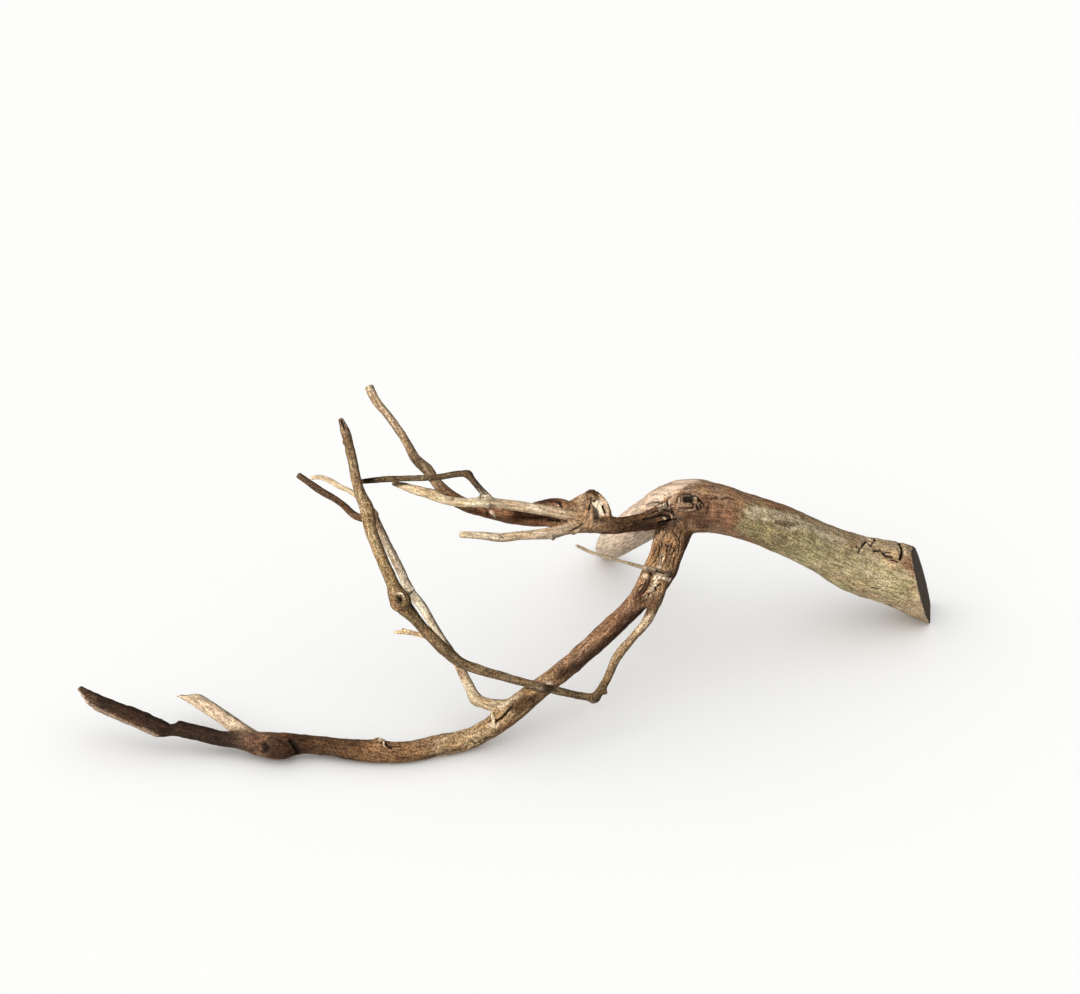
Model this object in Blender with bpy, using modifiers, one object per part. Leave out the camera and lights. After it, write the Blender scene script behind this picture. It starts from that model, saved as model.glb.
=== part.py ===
"""A dry branch of talawa wood, as used to furnish an aquarium or a terrarium.

The whole branch grew as one piece, so it is one solid. It lies as a tripod: on the lower
edge of its sawn trunk, on the belly of the long main branch and on a broken back leg.
Lengths are in millimetres and are turned into metres where an object is made.
X runs along the branch from its split tip to the sawn trunk, Y away from the viewer, Z up.
Each station of a limb is (x, y, z, diameter), chosen by eye along its centre line.
"""

import math

import bpy
from mathutils import Matrix, Vector

MM = 0.001

# Driving dimensions, in millimetres
FLOOR = 0.0
SAWN_FACE_POINT = (200.1, 30.0, 0.0)
SAWN_FACE_NORMAL = (0.95, -0.13, 0.285)
THINNEST_TWIG = 1.6
SKIN_VOXEL = 0.6
SKIN_FACES_KEPT = 0.0255
SKIN_LOSS = 0.12
TUBE_SIDES_STEP = 6
BEND_STEPS = 6

# Limbs that the branch is made of
TRUNK_AND_BACK_LEG = [
    (42.0, 94.7, 2.0, 11.4),
    (42.5, 90.2, 4.8, 12.2),
    (45.0, 65.0, 22.9, 15.4),
    (52.4, 39.0, 45.6, 17.8),
    (62.4, 14.0, 68.6, 19.6),
    (69.0, 3.0, 79.0, 22.4),
    (77.5, -3.5, 84.0, 25.0),
    (88.0, -1.0, 81.5, 23.6),
    (101.5, 3.5, 75.0, 21.8),
    (121.5, 12.0, 62.5, 22.6),
    (142.5, 20.5, 47.0, 23.4),
    (163.5, 28.5, 32.0, 28.8),
    (184.0, 32.0, 23.8, 31.6),
    (196.5, 33.0, 16.6, 31.4),
    (212.0, 34.5, 9.0, 31.6),
]
MAIN_BRANCH = [
    (72.0, -6.0, 80.0, 20.0),
    (71.0, -7.5, 77.0, 18.6),
    (68.2, -12.0, 68.0, 15.6),
    (62.0, -20.5, 55.5, 14.8),
    (52.5, -29.5, 47.0, 10.0),
    (36.5, -42.5, 37.0, 9.6),
    (18.0, -55.0, 26.0, 9.0),
    (10.5, -60.0, 22.5, 9.2),
    (-3.0, -67.0, 14.5, 10.8),
    (-17.0, -75.0, 7.0, 9.4),
    (-28.0, -79.5, 4.6, 9.6),
    (-37.0, -82.0, 4.6, 9.6),
    (-52.5, -87.0, 4.2, 9.4),
    (-64.0, -87.0, 4.6, 10.0),
    (-73.0, -86.5, 4.8, 9.6),
    (-91.0, -84.0, 5.5, 8.2),
    (-100.0, -84.0, 6.5, 9.2),
    (-109.0, -85.5, 6.5, 12.2),
    (-118.0, -84.0, 6.5, 10.8),
    (-127.5, -82.0, 7.0, 7.8),
    (-136.5, -81.0, 7.5, 7.0),
    (-152.5, -78.0, 10.0, 7.2),
    (-157.0, -77.5, 10.5, 7.2),
    (-166.0, -78.0, 11.5, 8.8),
    (-173.0, -75.5, 13.8, 8.8),
    (-182.0, -73.5, 16.0, 8.8),
    (-196.0, -69.5, 20.5, 8.2),
    (-202.0, -67.0, 23.5, 6.6),
]
FRONT_TWIG = [
    (62.0, -20.0, 58.0, 8.0),
    (63.5, -25.5, 55.0, 6.8),
    (62.3, -29.5, 50.5, 5.8),
    (60.3, -33.5, 47.0, 5.2),
    (56.8, -39.5, 43.0, 4.4),
    (51.2, -46.0, 39.5, 3.6),
    (43.7, -54.0, 34.0, 4.2),
    (38.0, -63.5, 26.5, 3.6),
    (33.0, -69.8, 22.2, 4.4),
    (26.5, -71.0, 23.8, 3.4),
    (8.0, -71.5, 29.3, 3.6),
    (-10.0, -73.5, 36.5, 4.0),
    (-18.5, -75.0, 40.5, 4.4),
    (-27.5, -75.5, 45.0, 4.8),
    (-34.0, -75.0, 51.0, 5.4),
    (-40.5, -74.0, 58.0, 5.0),
    (-47.0, -72.5, 66.0, 5.2),
    (-54.0, -71.0, 75.0, 8.4),
    (-57.0, -68.0, 82.0, 5.8),
    (-63.5, -61.0, 95.5, 5.2),
    (-66.5, -57.0, 102.5, 5.4),
    (-68.5, -51.0, 110.5, 6.2),
    (-71.5, -47.0, 116.0, 4.8),
    (-76.0, -35.0, 131.0, 4.4),
    (-78.5, -29.0, 138.0, 4.0),
    (-80.5, -26.0, 142.0, 2.2),
]
REAR_TWIG = [
    (-4.0, -67.5, 14.5, 8.5),
    (-11.5, -66.5, 15.0, 6.2),
    (-18.0, -64.5, 15.8, 5.2),
    (-22.8, -61.5, 19.0, 5.0),
    (-26.0, -58.0, 24.8, 4.4),
    (-30.0, -54.5, 31.4, 4.0),
    (-39.8, -48.0, 45.5, 3.8),
    (-45.0, -44.5, 54.0, 4.0),
    (-51.5, -41.5, 62.0, 4.8),
    (-54.2, -39.5, 68.5, 4.0),
    (-63.2, -33.5, 86.0, 4.2),
    (-67.4, -31.5, 95.0, 4.4),
]
REAR_FORK_DARK = [
    (-65.0, -32.0, 94.0, 4.0),
    (-74.0, -34.0, 96.0, 3.4),
    (-81.5, -33.5, 103.0, 3.0),
    (-90.5, -33.5, 109.5, 3.2),
    (-100.0, -33.5, 117.5, 2.8),
]
REAR_FORK_PALE = [
    (-66.0, -31.5, 95.0, 3.6),
    (-70.0, -27.0, 98.0, 2.8),
    (-77.0, -20.0, 100.5, 2.4),
    (-83.0, -15.5, 101.0, 2.4),
    (-88.0, -11.5, 102.0, 2.4),
    (-92.5, -8.5, 102.0, 2.2),
    (-97.0, -6.5, 100.5, 1.8),
]
DARK_BRANCH = [
    (74.0, -5.0, 83.0, 17.0),
    (66.0, -9.5, 83.0, 12.0),
    (59.0, -14.5, 82.6, 9.4),
    (52.0, -18.5, 83.5, 7.8),
    (44.5, -22.5, 84.6, 7.4),
    (36.0, -26.0, 88.0, 9.6),
    (31.0, -27.0, 90.0, 11.6),
    (24.0, -27.0, 92.0, 10.6),
    (18.0, -26.0, 92.5, 8.0),
]
RIBBON_TWIG = [
    (33.0, -28.0, 91.5, 6.4),
    (25.0, -30.5, 94.0, 5.2),
    (17.0, -32.5, 97.0, 4.8),
    (-1.0, -35.0, 102.0, 4.6),
    (-14.0, -36.0, 104.5, 4.4),
    (-32.0, -35.5, 105.0, 4.0),
    (-41.0, -32.5, 106.8, 4.6),
    (-50.5, -29.0, 108.0, 3.8),
    (-58.5, -26.0, 109.0, 2.0),
]
UPPER_TWIG = [
    (24.0, -27.0, 90.0, 9.0),
    (13.0, -20.5, 87.0, 7.6),
    (-1.0, -14.5, 84.5, 7.8),
    (-10.0, -10.0, 84.0, 7.8),
    (-19.5, -7.0, 84.6, 7.0),
    (-27.5, -5.0, 86.0, 6.2),
    (-35.0, -3.0, 90.5, 5.6),
    (-40.5, -0.5, 96.0, 4.8),
    (-44.0, 3.0, 99.5, 5.2),
    (-49.2, 7.0, 103.0, 4.6),
    (-54.2, 12.0, 110.0, 3.8),
    (-61.4, 20.0, 117.2, 3.8),
    (-68.5, 27.5, 123.0, 4.0),
    (-71.8, 32.5, 127.8, 4.4),
]
PALE_TWIG = [
    (33.0, -28.5, 88.5, 6.6),
    (21.5, -35.0, 90.3, 5.0),
    (13.5, -39.5, 90.8, 5.2),
    (-0.5, -45.5, 93.0, 3.9),
    (-9.5, -48.5, 93.8, 4.0),
    (-18.5, -50.5, 96.0, 3.4),
    (-27.5, -53.0, 98.0, 2.9),
]
CROSS_TWIG = [
    (-13.0, -36.0, 104.5, 3.4),
    (-19.0, -30.5, 108.8, 3.0),
    (-24.0, -26.3, 113.2, 3.2),
    (-26.6, -25.8, 113.8, 2.8),
    (-37.5, -27.5, 112.9, 2.8),
    (-54.5, -32.0, 114.6, 2.6),
    (-60.5, -33.0, 114.9, 2.8),
    (-73.5, -35.5, 114.8, 2.2),
]
FINE_TWIG = [
    (66.0, -20.0, 60.0, 3.6),
    (66.5, -25.5, 60.5, 2.6),
    (61.0, -27.5, 63.5, 2.2),
    (54.0, -30.5, 67.5, 1.8),
    (42.5, -35.0, 74.0, THINNEST_TWIG),
    (31.0, -39.0, 80.5, THINNEST_TWIG),
    (24.0, -40.5, 85.0, THINNEST_TWIG),
]
BARB = [
    (-40.5, -74.0, 57.5, 2.6),
    (-46.5, -69.0, 55.7, 2.0),
    (-51.0, -65.5, 54.2, 1.8),
    (-57.6, -62.5, 52.6, THINNEST_TWIG),
]
SPLIT_STUB = [
    (-117.0, -85.0, 7.0, 8.4),
    (-122.0, -81.5, 8.0, 7.6),
    (-133.5, -71.5, 10.2, 6.6),
    (-144.5, -63.0, 12.8, 6.4),
    (-152.0, -58.0, 14.4, 5.8),
    (-158.0, -54.5, 15.0, 4.6),
]
KNOB = [
    (30.5, -27.0, 90.0, 13.5),
    (31.8, -24.0, 95.0, 14.6),
    (31.4, -21.5, 99.0, 11.0),
    (30.4, -19.6, 102.6, 5.0),
]
RIDGE_STUB = [
    (26.0, -26.5, 93.0, 6.4),
    (20.0, -25.5, 96.6, 5.6),
    (13.0, -25.0, 97.9, 4.8),
    (7.5, -24.5, 98.0, 3.4),
]

# Swellings: centre and half widths along X, Y and Z
EYE_KNOT = ((77.0, -8.5, 88.5), (8.4, 7.4, 7.0))
COLLAR = ((73.0, -8.0, 81.5), (10.0, 8.4, 9.0))
TRUNK_KNOT = ((176.0, 27.5, 34.5), (15.0, 9.0, 9.0))
TWIG_KNOT = ((-53.0, -72.5, 75.5), (4.4, 4.2, 5.0))
BELLY_BUD = ((-64.5, -86.5, 9.6), (2.6, 2.2, 1.6))
STUB_KNOT = ((-111.0, -86.5, 9.0), (5.5, 4.5, 4.2))
FORK_BUD = ((-67.2, -32.0, 95.2), (2.6, 2.6, 2.4))

# Holes and cracks: centre and half widths along X, Y and Z
EYE_HOLE = ((76.5, -14.6, 93.0), (3.4, 2.2, 1.6))
TWIG_KNOT_HOLE = ((-54.0, -76.9, 76.9), (1.5, 1.8, 1.7))
TRUNK_CRACK = ((185.5, 28.5, 38.4), (0.8, 4.5, 4.0))
TRUNK_KNOT_CRACK = ((176.0, 24.3, 41.6), (6.0, 2.4, 0.9))

# Broken ends: a point on the break and the direction that points out of the wood
MAIN_TIP_BREAK = ((-195.2, -71.0, 18.0), (-0.80, -0.30, -0.52))
BACK_LEG_BREAK = ((40.5, 90.2, 5.0), (-0.10, 0.84, -0.53))
SPLIT_STUB_BREAK = ((-150.8, -58.2, 15.6), (-0.12, 0.48, 0.87))
KNOB_BREAK = ((36.6, -25.0, 98.4), (0.66, -0.35, 0.66))
MAIN_TIP_FACET = ((-183.2, -75.6, 14.1), (-0.40, -0.69, -0.60))

# The bite out of the main branch near its split tip, open upwards and along the slant
NOTCH_BOTTOM = (-158.2, -77.5, 10.8)
NOTCH_SIDE = 12.0
NOTCH_OPENING_TURN = math.radians(50.0)
NOTCH_SLANT = math.radians(60.0)

# Uneven growth of the skin
LUMP_HEIGHT = 1.1
LUMP_WIDTH = 9.0

BARK_COLOUR = (0.23, 0.15, 0.09, 1.0)
BARK_ROUGHNESS = 0.88


def clear_scene():
    for thing in list(bpy.data.objects):
        bpy.data.objects.remove(thing, do_unlink=True)


def new_collection(name):
    group = bpy.data.collections.new(name)
    bpy.context.scene.collection.children.link(group)
    return group


def bark_material():
    material = bpy.data.materials.new("dry_bark")
    material.use_nodes = True
    shader = material.node_tree.nodes["Principled BSDF"]
    shader.inputs["Base Color"].default_value = BARK_COLOUR
    shader.inputs["Roughness"].default_value = BARK_ROUGHNESS
    shader.inputs["Metallic"].default_value = 0.0
    return material


def limb_mesh(name, stations):
    """A round limb through its stations, as a closed mesh in metres."""
    curve = bpy.data.curves.new(name, "CURVE")
    curve.dimensions = "3D"
    curve.bevel_depth = MM
    curve.bevel_resolution = TUBE_SIDES_STEP
    curve.resolution_u = BEND_STEPS
    curve.use_fill_caps = True
    spline = curve.splines.new("BEZIER")
    spline.radius_interpolation = "CARDINAL"
    spline.bezier_points.add(len(stations) - 1)
    for point, (x, y, z, diameter) in zip(spline.bezier_points, stations):
        point.co = (x * MM, y * MM, z * MM)
        point.radius = diameter / 2 + SKIN_LOSS
        point.handle_left_type = "AUTO"
        point.handle_right_type = "AUTO"
    guide = bpy.data.objects.new(name, curve)
    bpy.context.scene.collection.objects.link(guide)
    seen = guide.evaluated_get(bpy.context.evaluated_depsgraph_get())
    mesh = bpy.data.meshes.new_from_object(seen)
    bpy.data.objects.remove(guide, do_unlink=True)
    return mesh


def ellipsoid(name, centre, half_widths):
    """A round lump, or the cutter of a hole or a crack."""
    bpy.ops.mesh.primitive_uv_sphere_add(segments=20, ring_count=12, radius=1.0)
    lump = bpy.context.object
    lump.name = name
    lump.data.transform(Matrix.Diagonal((*(Vector(half_widths) * MM), 1.0)))
    lump.data.transform(Matrix.Translation(Vector(centre) * MM))
    return lump


def block(name, size):
    bpy.ops.mesh.primitive_cube_add(size=1.0)
    made = bpy.context.object
    made.name = name
    made.data.transform(Matrix.Diagonal((*(Vector(size) * MM), 1.0)))
    return made


def break_cutter(name, point, outward, size):
    """A block that takes away all wood beyond a flat break."""
    made = block(name, (size, size, size))
    normal = Vector(outward).normalized()
    turn = normal.to_track_quat("Z", "Y").to_matrix().to_4x4()
    made.data.transform(Matrix.Translation((0.0, 0.0, size / 2 * MM)))
    made.data.transform(turn)
    made.data.transform(Matrix.Translation(Vector(point) * MM))
    return made


def move_to(made, group):
    for owner in list(made.users_collection):
        owner.objects.unlink(made)
    group.objects.link(made)


def join_limbs(limbs, swellings):
    """One object that holds every limb and swelling, still overlapping."""
    pieces = []
    for name, stations in limbs.items():
        piece = bpy.data.objects.new(name, limb_mesh(name, stations))
        bpy.context.scene.collection.objects.link(piece)
        pieces.append(piece)
    for name, (centre, half_widths) in swellings.items():
        pieces.append(ellipsoid(name, centre, half_widths))
    with bpy.context.temp_override(
        active_object=pieces[0],
        selected_editable_objects=pieces,
    ):
        bpy.ops.object.join()
    return pieces[0]


def grow_together(wood):
    """Fuse the overlapping limbs into one skin with few faces."""
    skin = wood.modifiers.new("one skin", "REMESH")
    skin.mode = "VOXEL"
    skin.voxel_size = SKIN_VOXEL * MM
    skin.adaptivity = 0.0
    uneven = bpy.data.textures.new("uneven growth", "CLOUDS")
    uneven.noise_scale = LUMP_WIDTH * MM
    uneven.noise_depth = 1
    lumps = wood.modifiers.new("uneven growth", "DISPLACE")
    lumps.texture = uneven
    lumps.texture_coords = "LOCAL"
    lumps.mid_level = 0.5
    lumps.strength = LUMP_HEIGHT * MM
    fewer = wood.modifiers.new("fewer faces", "DECIMATE")
    fewer.decimate_type = "COLLAPSE"
    fewer.ratio = SKIN_FACES_KEPT
    fewer.use_collapse_triangulate = True


def cut(wood, cutter, group):
    move_to(cutter, group)
    cutter.hide_render = True
    cutter.display_type = "WIRE"
    trim = wood.modifiers.new("cut " + cutter.name, "BOOLEAN")
    trim.operation = "DIFFERENCE"
    trim.solver = "EXACT"
    trim.object = cutter


def notch_cutter():
    """A block that stands on one of its edges, at the bottom of the notch."""
    made = block("notch", (NOTCH_SIDE, NOTCH_SIDE, 2 * NOTCH_SIDE))
    made.data.transform(Matrix.Translation((NOTCH_SIDE / 2 * MM, NOTCH_SIDE / 2 * MM, 0.0)))
    made.data.transform(Matrix.Rotation(NOTCH_OPENING_TURN, 4, "Z"))
    made.data.transform(Matrix.Rotation(NOTCH_SLANT, 4, "X"))
    made.data.transform(Matrix.Translation(Vector(NOTCH_BOTTOM) * MM))
    return made


clear_scene()
parts = new_collection("talawa wood branch")
cutters = new_collection("cutters")

cuts = [
    ellipsoid("eye hole", *EYE_HOLE),
    ellipsoid("twig knot hole", *TWIG_KNOT_HOLE),
    ellipsoid("trunk crack", *TRUNK_CRACK),
    ellipsoid("trunk knot crack", *TRUNK_KNOT_CRACK),
    notch_cutter(),
    break_cutter("main tip break", *MAIN_TIP_BREAK, 30.0),
    break_cutter("main tip facet", *MAIN_TIP_FACET, 40.0),
    break_cutter("back leg break", *BACK_LEG_BREAK, 30.0),
    break_cutter("split stub break", *SPLIT_STUB_BREAK, 26.0),
    break_cutter("knob break", *KNOB_BREAK, 8.0),
    break_cutter("saw cut", SAWN_FACE_POINT, SAWN_FACE_NORMAL, 90.0),
    break_cutter("floor", (0.0, 0.0, FLOOR), (0.0, 0.0, -1.0), 500.0),
]

wood = join_limbs(
    {
        "trunk and back leg": TRUNK_AND_BACK_LEG,
        "main branch": MAIN_BRANCH,
        "front twig": FRONT_TWIG,
        "rear twig": REAR_TWIG,
        "dark rear fork": REAR_FORK_DARK,
        "pale rear fork": REAR_FORK_PALE,
        "dark branch": DARK_BRANCH,
        "ribbon twig": RIBBON_TWIG,
        "upper twig": UPPER_TWIG,
        "pale twig": PALE_TWIG,
        "cross twig": CROSS_TWIG,
        "fine twig": FINE_TWIG,
        "barb": BARB,
        "split stub": SPLIT_STUB,
        "knob": KNOB,
        "ridge stub": RIDGE_STUB,
    },
    {
        "eye knot": EYE_KNOT,
        "collar": COLLAR,
        "trunk knot": TRUNK_KNOT,
        "twig knot": TWIG_KNOT,
        "belly bud": BELLY_BUD,
        "stub knot": STUB_KNOT,
        "fork bud": FORK_BUD,
    },
)
wood.name = "talawa_wood"
wood.data.name = "talawa_wood"
move_to(wood, parts)
wood.data.materials.clear()
wood.data.materials.append(bark_material())
wood.data.shade_smooth()
grow_together(wood)
for cutter in cuts:
    cut(wood, cutter, cutters)
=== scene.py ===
import math

import bmesh
import bpy
import numpy as np
from mathutils import Matrix, Vector


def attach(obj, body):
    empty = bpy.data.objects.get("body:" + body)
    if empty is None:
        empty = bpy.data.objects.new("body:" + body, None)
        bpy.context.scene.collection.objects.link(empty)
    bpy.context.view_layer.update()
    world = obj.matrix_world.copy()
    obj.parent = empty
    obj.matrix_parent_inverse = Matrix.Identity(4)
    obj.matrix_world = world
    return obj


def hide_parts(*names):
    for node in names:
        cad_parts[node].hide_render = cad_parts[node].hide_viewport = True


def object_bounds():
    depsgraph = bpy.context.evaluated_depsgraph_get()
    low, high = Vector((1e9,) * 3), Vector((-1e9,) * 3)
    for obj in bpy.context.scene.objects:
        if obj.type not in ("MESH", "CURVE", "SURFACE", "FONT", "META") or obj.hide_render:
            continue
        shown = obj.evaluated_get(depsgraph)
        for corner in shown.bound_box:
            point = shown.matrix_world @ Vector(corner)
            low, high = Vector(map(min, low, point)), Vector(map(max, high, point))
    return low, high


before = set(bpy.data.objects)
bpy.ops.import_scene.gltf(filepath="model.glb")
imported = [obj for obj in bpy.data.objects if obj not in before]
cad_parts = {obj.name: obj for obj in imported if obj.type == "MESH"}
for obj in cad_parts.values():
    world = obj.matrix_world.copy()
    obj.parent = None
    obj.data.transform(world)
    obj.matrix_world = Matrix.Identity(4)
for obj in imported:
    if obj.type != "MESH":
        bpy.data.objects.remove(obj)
cad_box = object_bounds()

MM = 0.001


# The studio: a white paper floor, a lamp from the upper left, a weak wide one from below in
# place of the light that paper throws back, and soft light all round. The camera looks down
# at 30 degrees with a long lens.

PICTURE_WIDE = 1080
PICTURE_HIGH = 994
LENS = 85.0
SENSOR = 36.0
CAMERA_PLACE = (0.0082, -1.0248, 0.6783)
CAMERA_TURN = (math.radians(60.0), 0.0, 0.0)


def linear(code):
    """The linear colour, with alpha, of an sRGB hex code such as 8a6b4c."""
    parts = [int(code[i:i + 2], 16) / 255.0 for i in (0, 2, 4)]
    return [p / 12.92 if p <= 0.04045 else ((p + 0.055) / 1.055) ** 2.4 for p in parts] + [1.0]


def add(tree, kind, settings=(), **inputs):
    """Adds a node; an input is a value or another node's output socket."""
    made = tree.nodes.new(kind)
    for name, value in dict(settings).items():
        setattr(made, name, value)
    for name, value in inputs.items():
        key = int(name[1:]) if name[0] == "i" and name[1:].isdigit() else name.replace("_", " ")
        socket = made.inputs[key]
        if isinstance(value, bpy.types.NodeSocket):
            tree.links.new(value, socket)
        else:
            socket.default_value = value
    return made


camera_data = bpy.data.cameras.new("photo_camera")
camera_data.lens = LENS
camera_data.sensor_width = SENSOR
camera = bpy.data.objects.new("photo_camera", camera_data)
camera.location = CAMERA_PLACE
camera.rotation_euler = CAMERA_TURN
bpy.context.scene.collection.objects.link(camera)
bpy.context.scene.camera = camera
bpy.context.scene.view_settings.view_transform = "Standard"

FLOOR_HALF = 3.0
floor_mesh = bpy.data.meshes.new("floor")
floor_mesh.from_pydata(
    [(-FLOOR_HALF, -FLOOR_HALF, 0), (FLOOR_HALF, -FLOOR_HALF, 0),
     (FLOOR_HALF, FLOOR_HALF, 0), (-FLOOR_HALF, FLOOR_HALF, 0)],
    [],
    [(0, 1, 2, 3)],
)
floor = bpy.data.objects.new("floor", floor_mesh)
bpy.context.scene.collection.objects.link(floor)
paper = bpy.data.materials.new("white_paper")
paper.use_nodes = True
paper_shader = paper.node_tree.nodes["Principled BSDF"]
paper_shader.inputs["Base Color"].default_value = linear("fafaf8")
paper_shader.inputs["Roughness"].default_value = 0.9
paper_shader.inputs["Specular IOR Level"].default_value = 0.1
floor_mesh.materials.append(paper)
floor.visible_diffuse = False

wood_group = bpy.data.collections.new("talawa wood")
floor_group = bpy.data.collections.new("floor")
bpy.context.scene.collection.children.link(wood_group)
floor_group.objects.link(floor)


def sun(name, towards, strength, width_degrees, lights_only):
    """A lamp far away that lights one group; towards points from the object to the lamp."""
    data = bpy.data.lights.new(name, "SUN")
    data.energy = strength
    data.angle = math.radians(width_degrees)
    lamp = bpy.data.objects.new(name, data)
    lamp.rotation_euler = Vector(towards).to_track_quat("Z", "Y").to_euler()
    bpy.context.scene.collection.objects.link(lamp)
    lamp.light_linking.receiver_collection = lights_only
    lamp.light_linking.blocker_collection = wood_group


sun("key_lamp", (-0.50, -0.60, 0.62), 5.6, 9.0, wood_group)
sun("bounce_from_below", (-0.45, -0.5, -0.74), 1.3, 100.0, wood_group)
sun("floor_lamp", (-0.15, -0.1, 1.0), 2.8, 150.0, floor_group)

world = bpy.data.worlds.new("studio")
bpy.context.scene.world = world
world.use_nodes = True
sky = world.node_tree
sky.nodes.clear()
path = add(sky, "ShaderNodeLightPath")
soft = add(sky, "ShaderNodeBackground", Color=linear("f2f2f4"), Strength=0.18)
seen_white = add(sky, "ShaderNodeBackground", Color=linear("fbfbfa"), Strength=1.0)
both = add(sky, "ShaderNodeMixShader", i0=path.outputs["Is Camera Ray"],
           i1=soft.outputs[0], i2=seen_white.outputs[0])
add(sky, "ShaderNodeOutputWorld", Surface=both.outputs[0])


# The trunk and the back leg: one stout stem that bends over at the elbow. The trunk's bark
# is thin, grey-brown and sandy with green algae on it; its right end is sawn straight.
# The back leg has lost its bark and is pale.

BEND_STEPS = 6
# a bend's handle is the gap between two stations divided by this
HANDLE_DIVISOR = 2.5614

limbs = {}
marks = []


def centre_line(stations):
    """Points and radii along a smooth line through the stations (x, y, z, diameter in mm)."""
    points = np.array([s[:3] for s in stations], dtype=float)
    radii = np.array([s[3] / 2 for s in stations], dtype=float)
    before = np.vstack([2 * points[0] - points[1], points[:-1]])
    after = np.vstack([points[1:], 2 * points[-1] - points[-2]])
    come = points - before
    go = after - points
    come_length = np.linalg.norm(come, axis=1, keepdims=True)
    go_length = np.linalg.norm(go, axis=1, keepdims=True)
    aim = come / come_length + go / go_length
    reach = np.linalg.norm(aim, axis=1, keepdims=True) * HANDLE_DIVISOR
    left = points - aim * come_length / reach
    right = points + aim * go_length / reach
    r_before = np.concatenate([radii[:1], radii[:-1]])
    r_after = np.concatenate([radii[1:], radii[-1:]])
    slope = (r_after - r_before) / 2
    line = []
    thick = []
    for i in range(len(points) - 1):
        for step in range(BEND_STEPS):
            t = step / BEND_STEPS
            u = 1 - t
            line.append(u ** 3 * points[i] + 3 * u * u * t * right[i]
                        + 3 * u * t * t * left[i + 1] + t ** 3 * points[i + 1])
            thick.append((2 * t ** 3 - 3 * t * t + 1) * radii[i] + (t ** 3 - 2 * t * t + t) * slope[i]
                         + (3 * t * t - 2 * t ** 3) * radii[i + 1] + (t ** 3 - t * t) * slope[i + 1])
    line.append(points[-1])
    thick.append(radii[-1])
    return np.array(line), np.array(thick)


def limb(name, stations, tones, ridges=0.3, lumps=0.4, speckle=0.9, bare=((0.0, 0.0), (1.0, 0.0))):
    """Keeps a limb. tones and bare are (share of the length, colour or bareness) along it;
    ridges and lumps are heights in mm, and speckle is how strong its specks are."""
    line, thick = centre_line(stations)
    limbs[name] = {
        "line": line, "thick": thick, "tones": tones,
        "ridges": ridges, "lumps": lumps, "speckle": speckle, "bare": bare,
    }


def paint(mask, places, radius, blur, strength=1.0, wobble=0.0):
    """A patch of a finish, of painted shade or of painted light round a line of places; radius, blur and
    wobble are in mm.
    """
    marks.append((mask, places, radius, blur, strength, wobble))


def ridge(places, width, height):
    """A raised line of that width and height in mm; a negative height makes a groove."""
    marks.append(("push", places, width / 2, width * 0.8, height, 0.0))


def crack(places, width, depth):
    """An open crack of that width and depth in mm, with near-black painted shade in it."""
    marks.append(("push", places, width / 2, width * 0.8, -depth, 0.0))
    marks.append(("dark", places, width * 0.5, width * 0.7, 1.0, 0.0))


limb("trunk and back leg", [
    (42, 94.7, 2, 11.4), (42.5, 90.2, 4.8, 12.2), (45, 65, 22.9, 15.4), (52.4, 39, 45.6, 17.8),
    (62.4, 14, 68.6, 19.6), (69, 3, 79, 22.4), (77.5, -3.5, 84, 25), (88, -1, 81.5, 23.6),
    (101.5, 3.5, 75, 21.8), (121.5, 12, 62.5, 22.6), (142.5, 20.5, 47, 23.4),
    (163.5, 28.5, 32, 28.8), (184, 32, 23.8, 31.6), (196.5, 33, 16.6, 31.4), (212, 34.5, 9, 31.6),
], tones=[
    (0.0, "cab49e"), (0.40, "c8b098"), (0.47, "a08064"), (0.60, "947054"), (0.68, "b29c7c"),
    (1.0, "a08d72"),
], ridges=0.10, lumps=0.35, speckle=0.65, bare=((0.0, 1.0), (0.36, 1.0), (0.40, 0.0), (1.0, 0.0)))

# algae
paint("lichen", [(757, 522), (790, 534), (820, 550)], 9.5, 5.0, 0.9, wobble=2.5)
paint("lichen", [(820, 550), (850, 566), (900, 592)], 8.0, 9.0, 0.65, wobble=3.5)
paint("lichen", [(742, 527), (775, 548), (815, 570), (850, 590)], 3.5, 4.0, 0.8, wobble=2.0)
paint("pale", [(858, 566), (872, 576), (888, 582)], 1.0, 6.0, 0.30, wobble=2.5)
paint("pale", [(848, 596), (868, 602), (890, 606)], 1.5, 5.0, 0.40, wobble=2.5)
paint("pale", [(750, 512), (775, 515), (810, 526), (840, 541)], 2.0, 5.0, 0.55, wobble=2.0)
paint("warm", [(712, 512), (730, 522)], 6.0, 9.0, wobble=2.0)
paint("warm", [(908, 563), (914, 570)], 3.0, 4.0)
# painted shade on the trunk below the eye knot
paint("shade_and_dark_bark", [(686, 517), (696, 519), (704, 524)], 4.2, 6.5, 0.85)
# scars
crack([(711, 499), (718, 497.5)], 0.6, 0.3)
crack([(722, 499), (728, 497.5), (735, 500)], 0.6, 0.3)
# a shallow groove with painted shade in it
paint("shade_and_dark_bark", [(777, 521.5), (783, 523.5), (790, 525.5), (797, 523.5)], 0.9, 1.0, 0.75, wobble=0.8)
paint("push", [(777, 521.5), (783, 523.5), (790, 525.5), (797, 523.5)], 0.8, 1.0, -0.25)
paint("pale", [(778, 526), (787, 529.5), (797, 528)], 0.5, 1.2, 0.5)
crack([(872, 588), (879, 589)], 0.9, 0.4)
# painted light over the back leg's pale bare wood
paint("pale", [(42.5, 90.2, 4.8), (45.0, 65.0, 22.9), (52.4, 39.0, 45.6), (59.0, 22.0, 61.0)], 13.0, 8.0,
      0.42)
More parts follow.
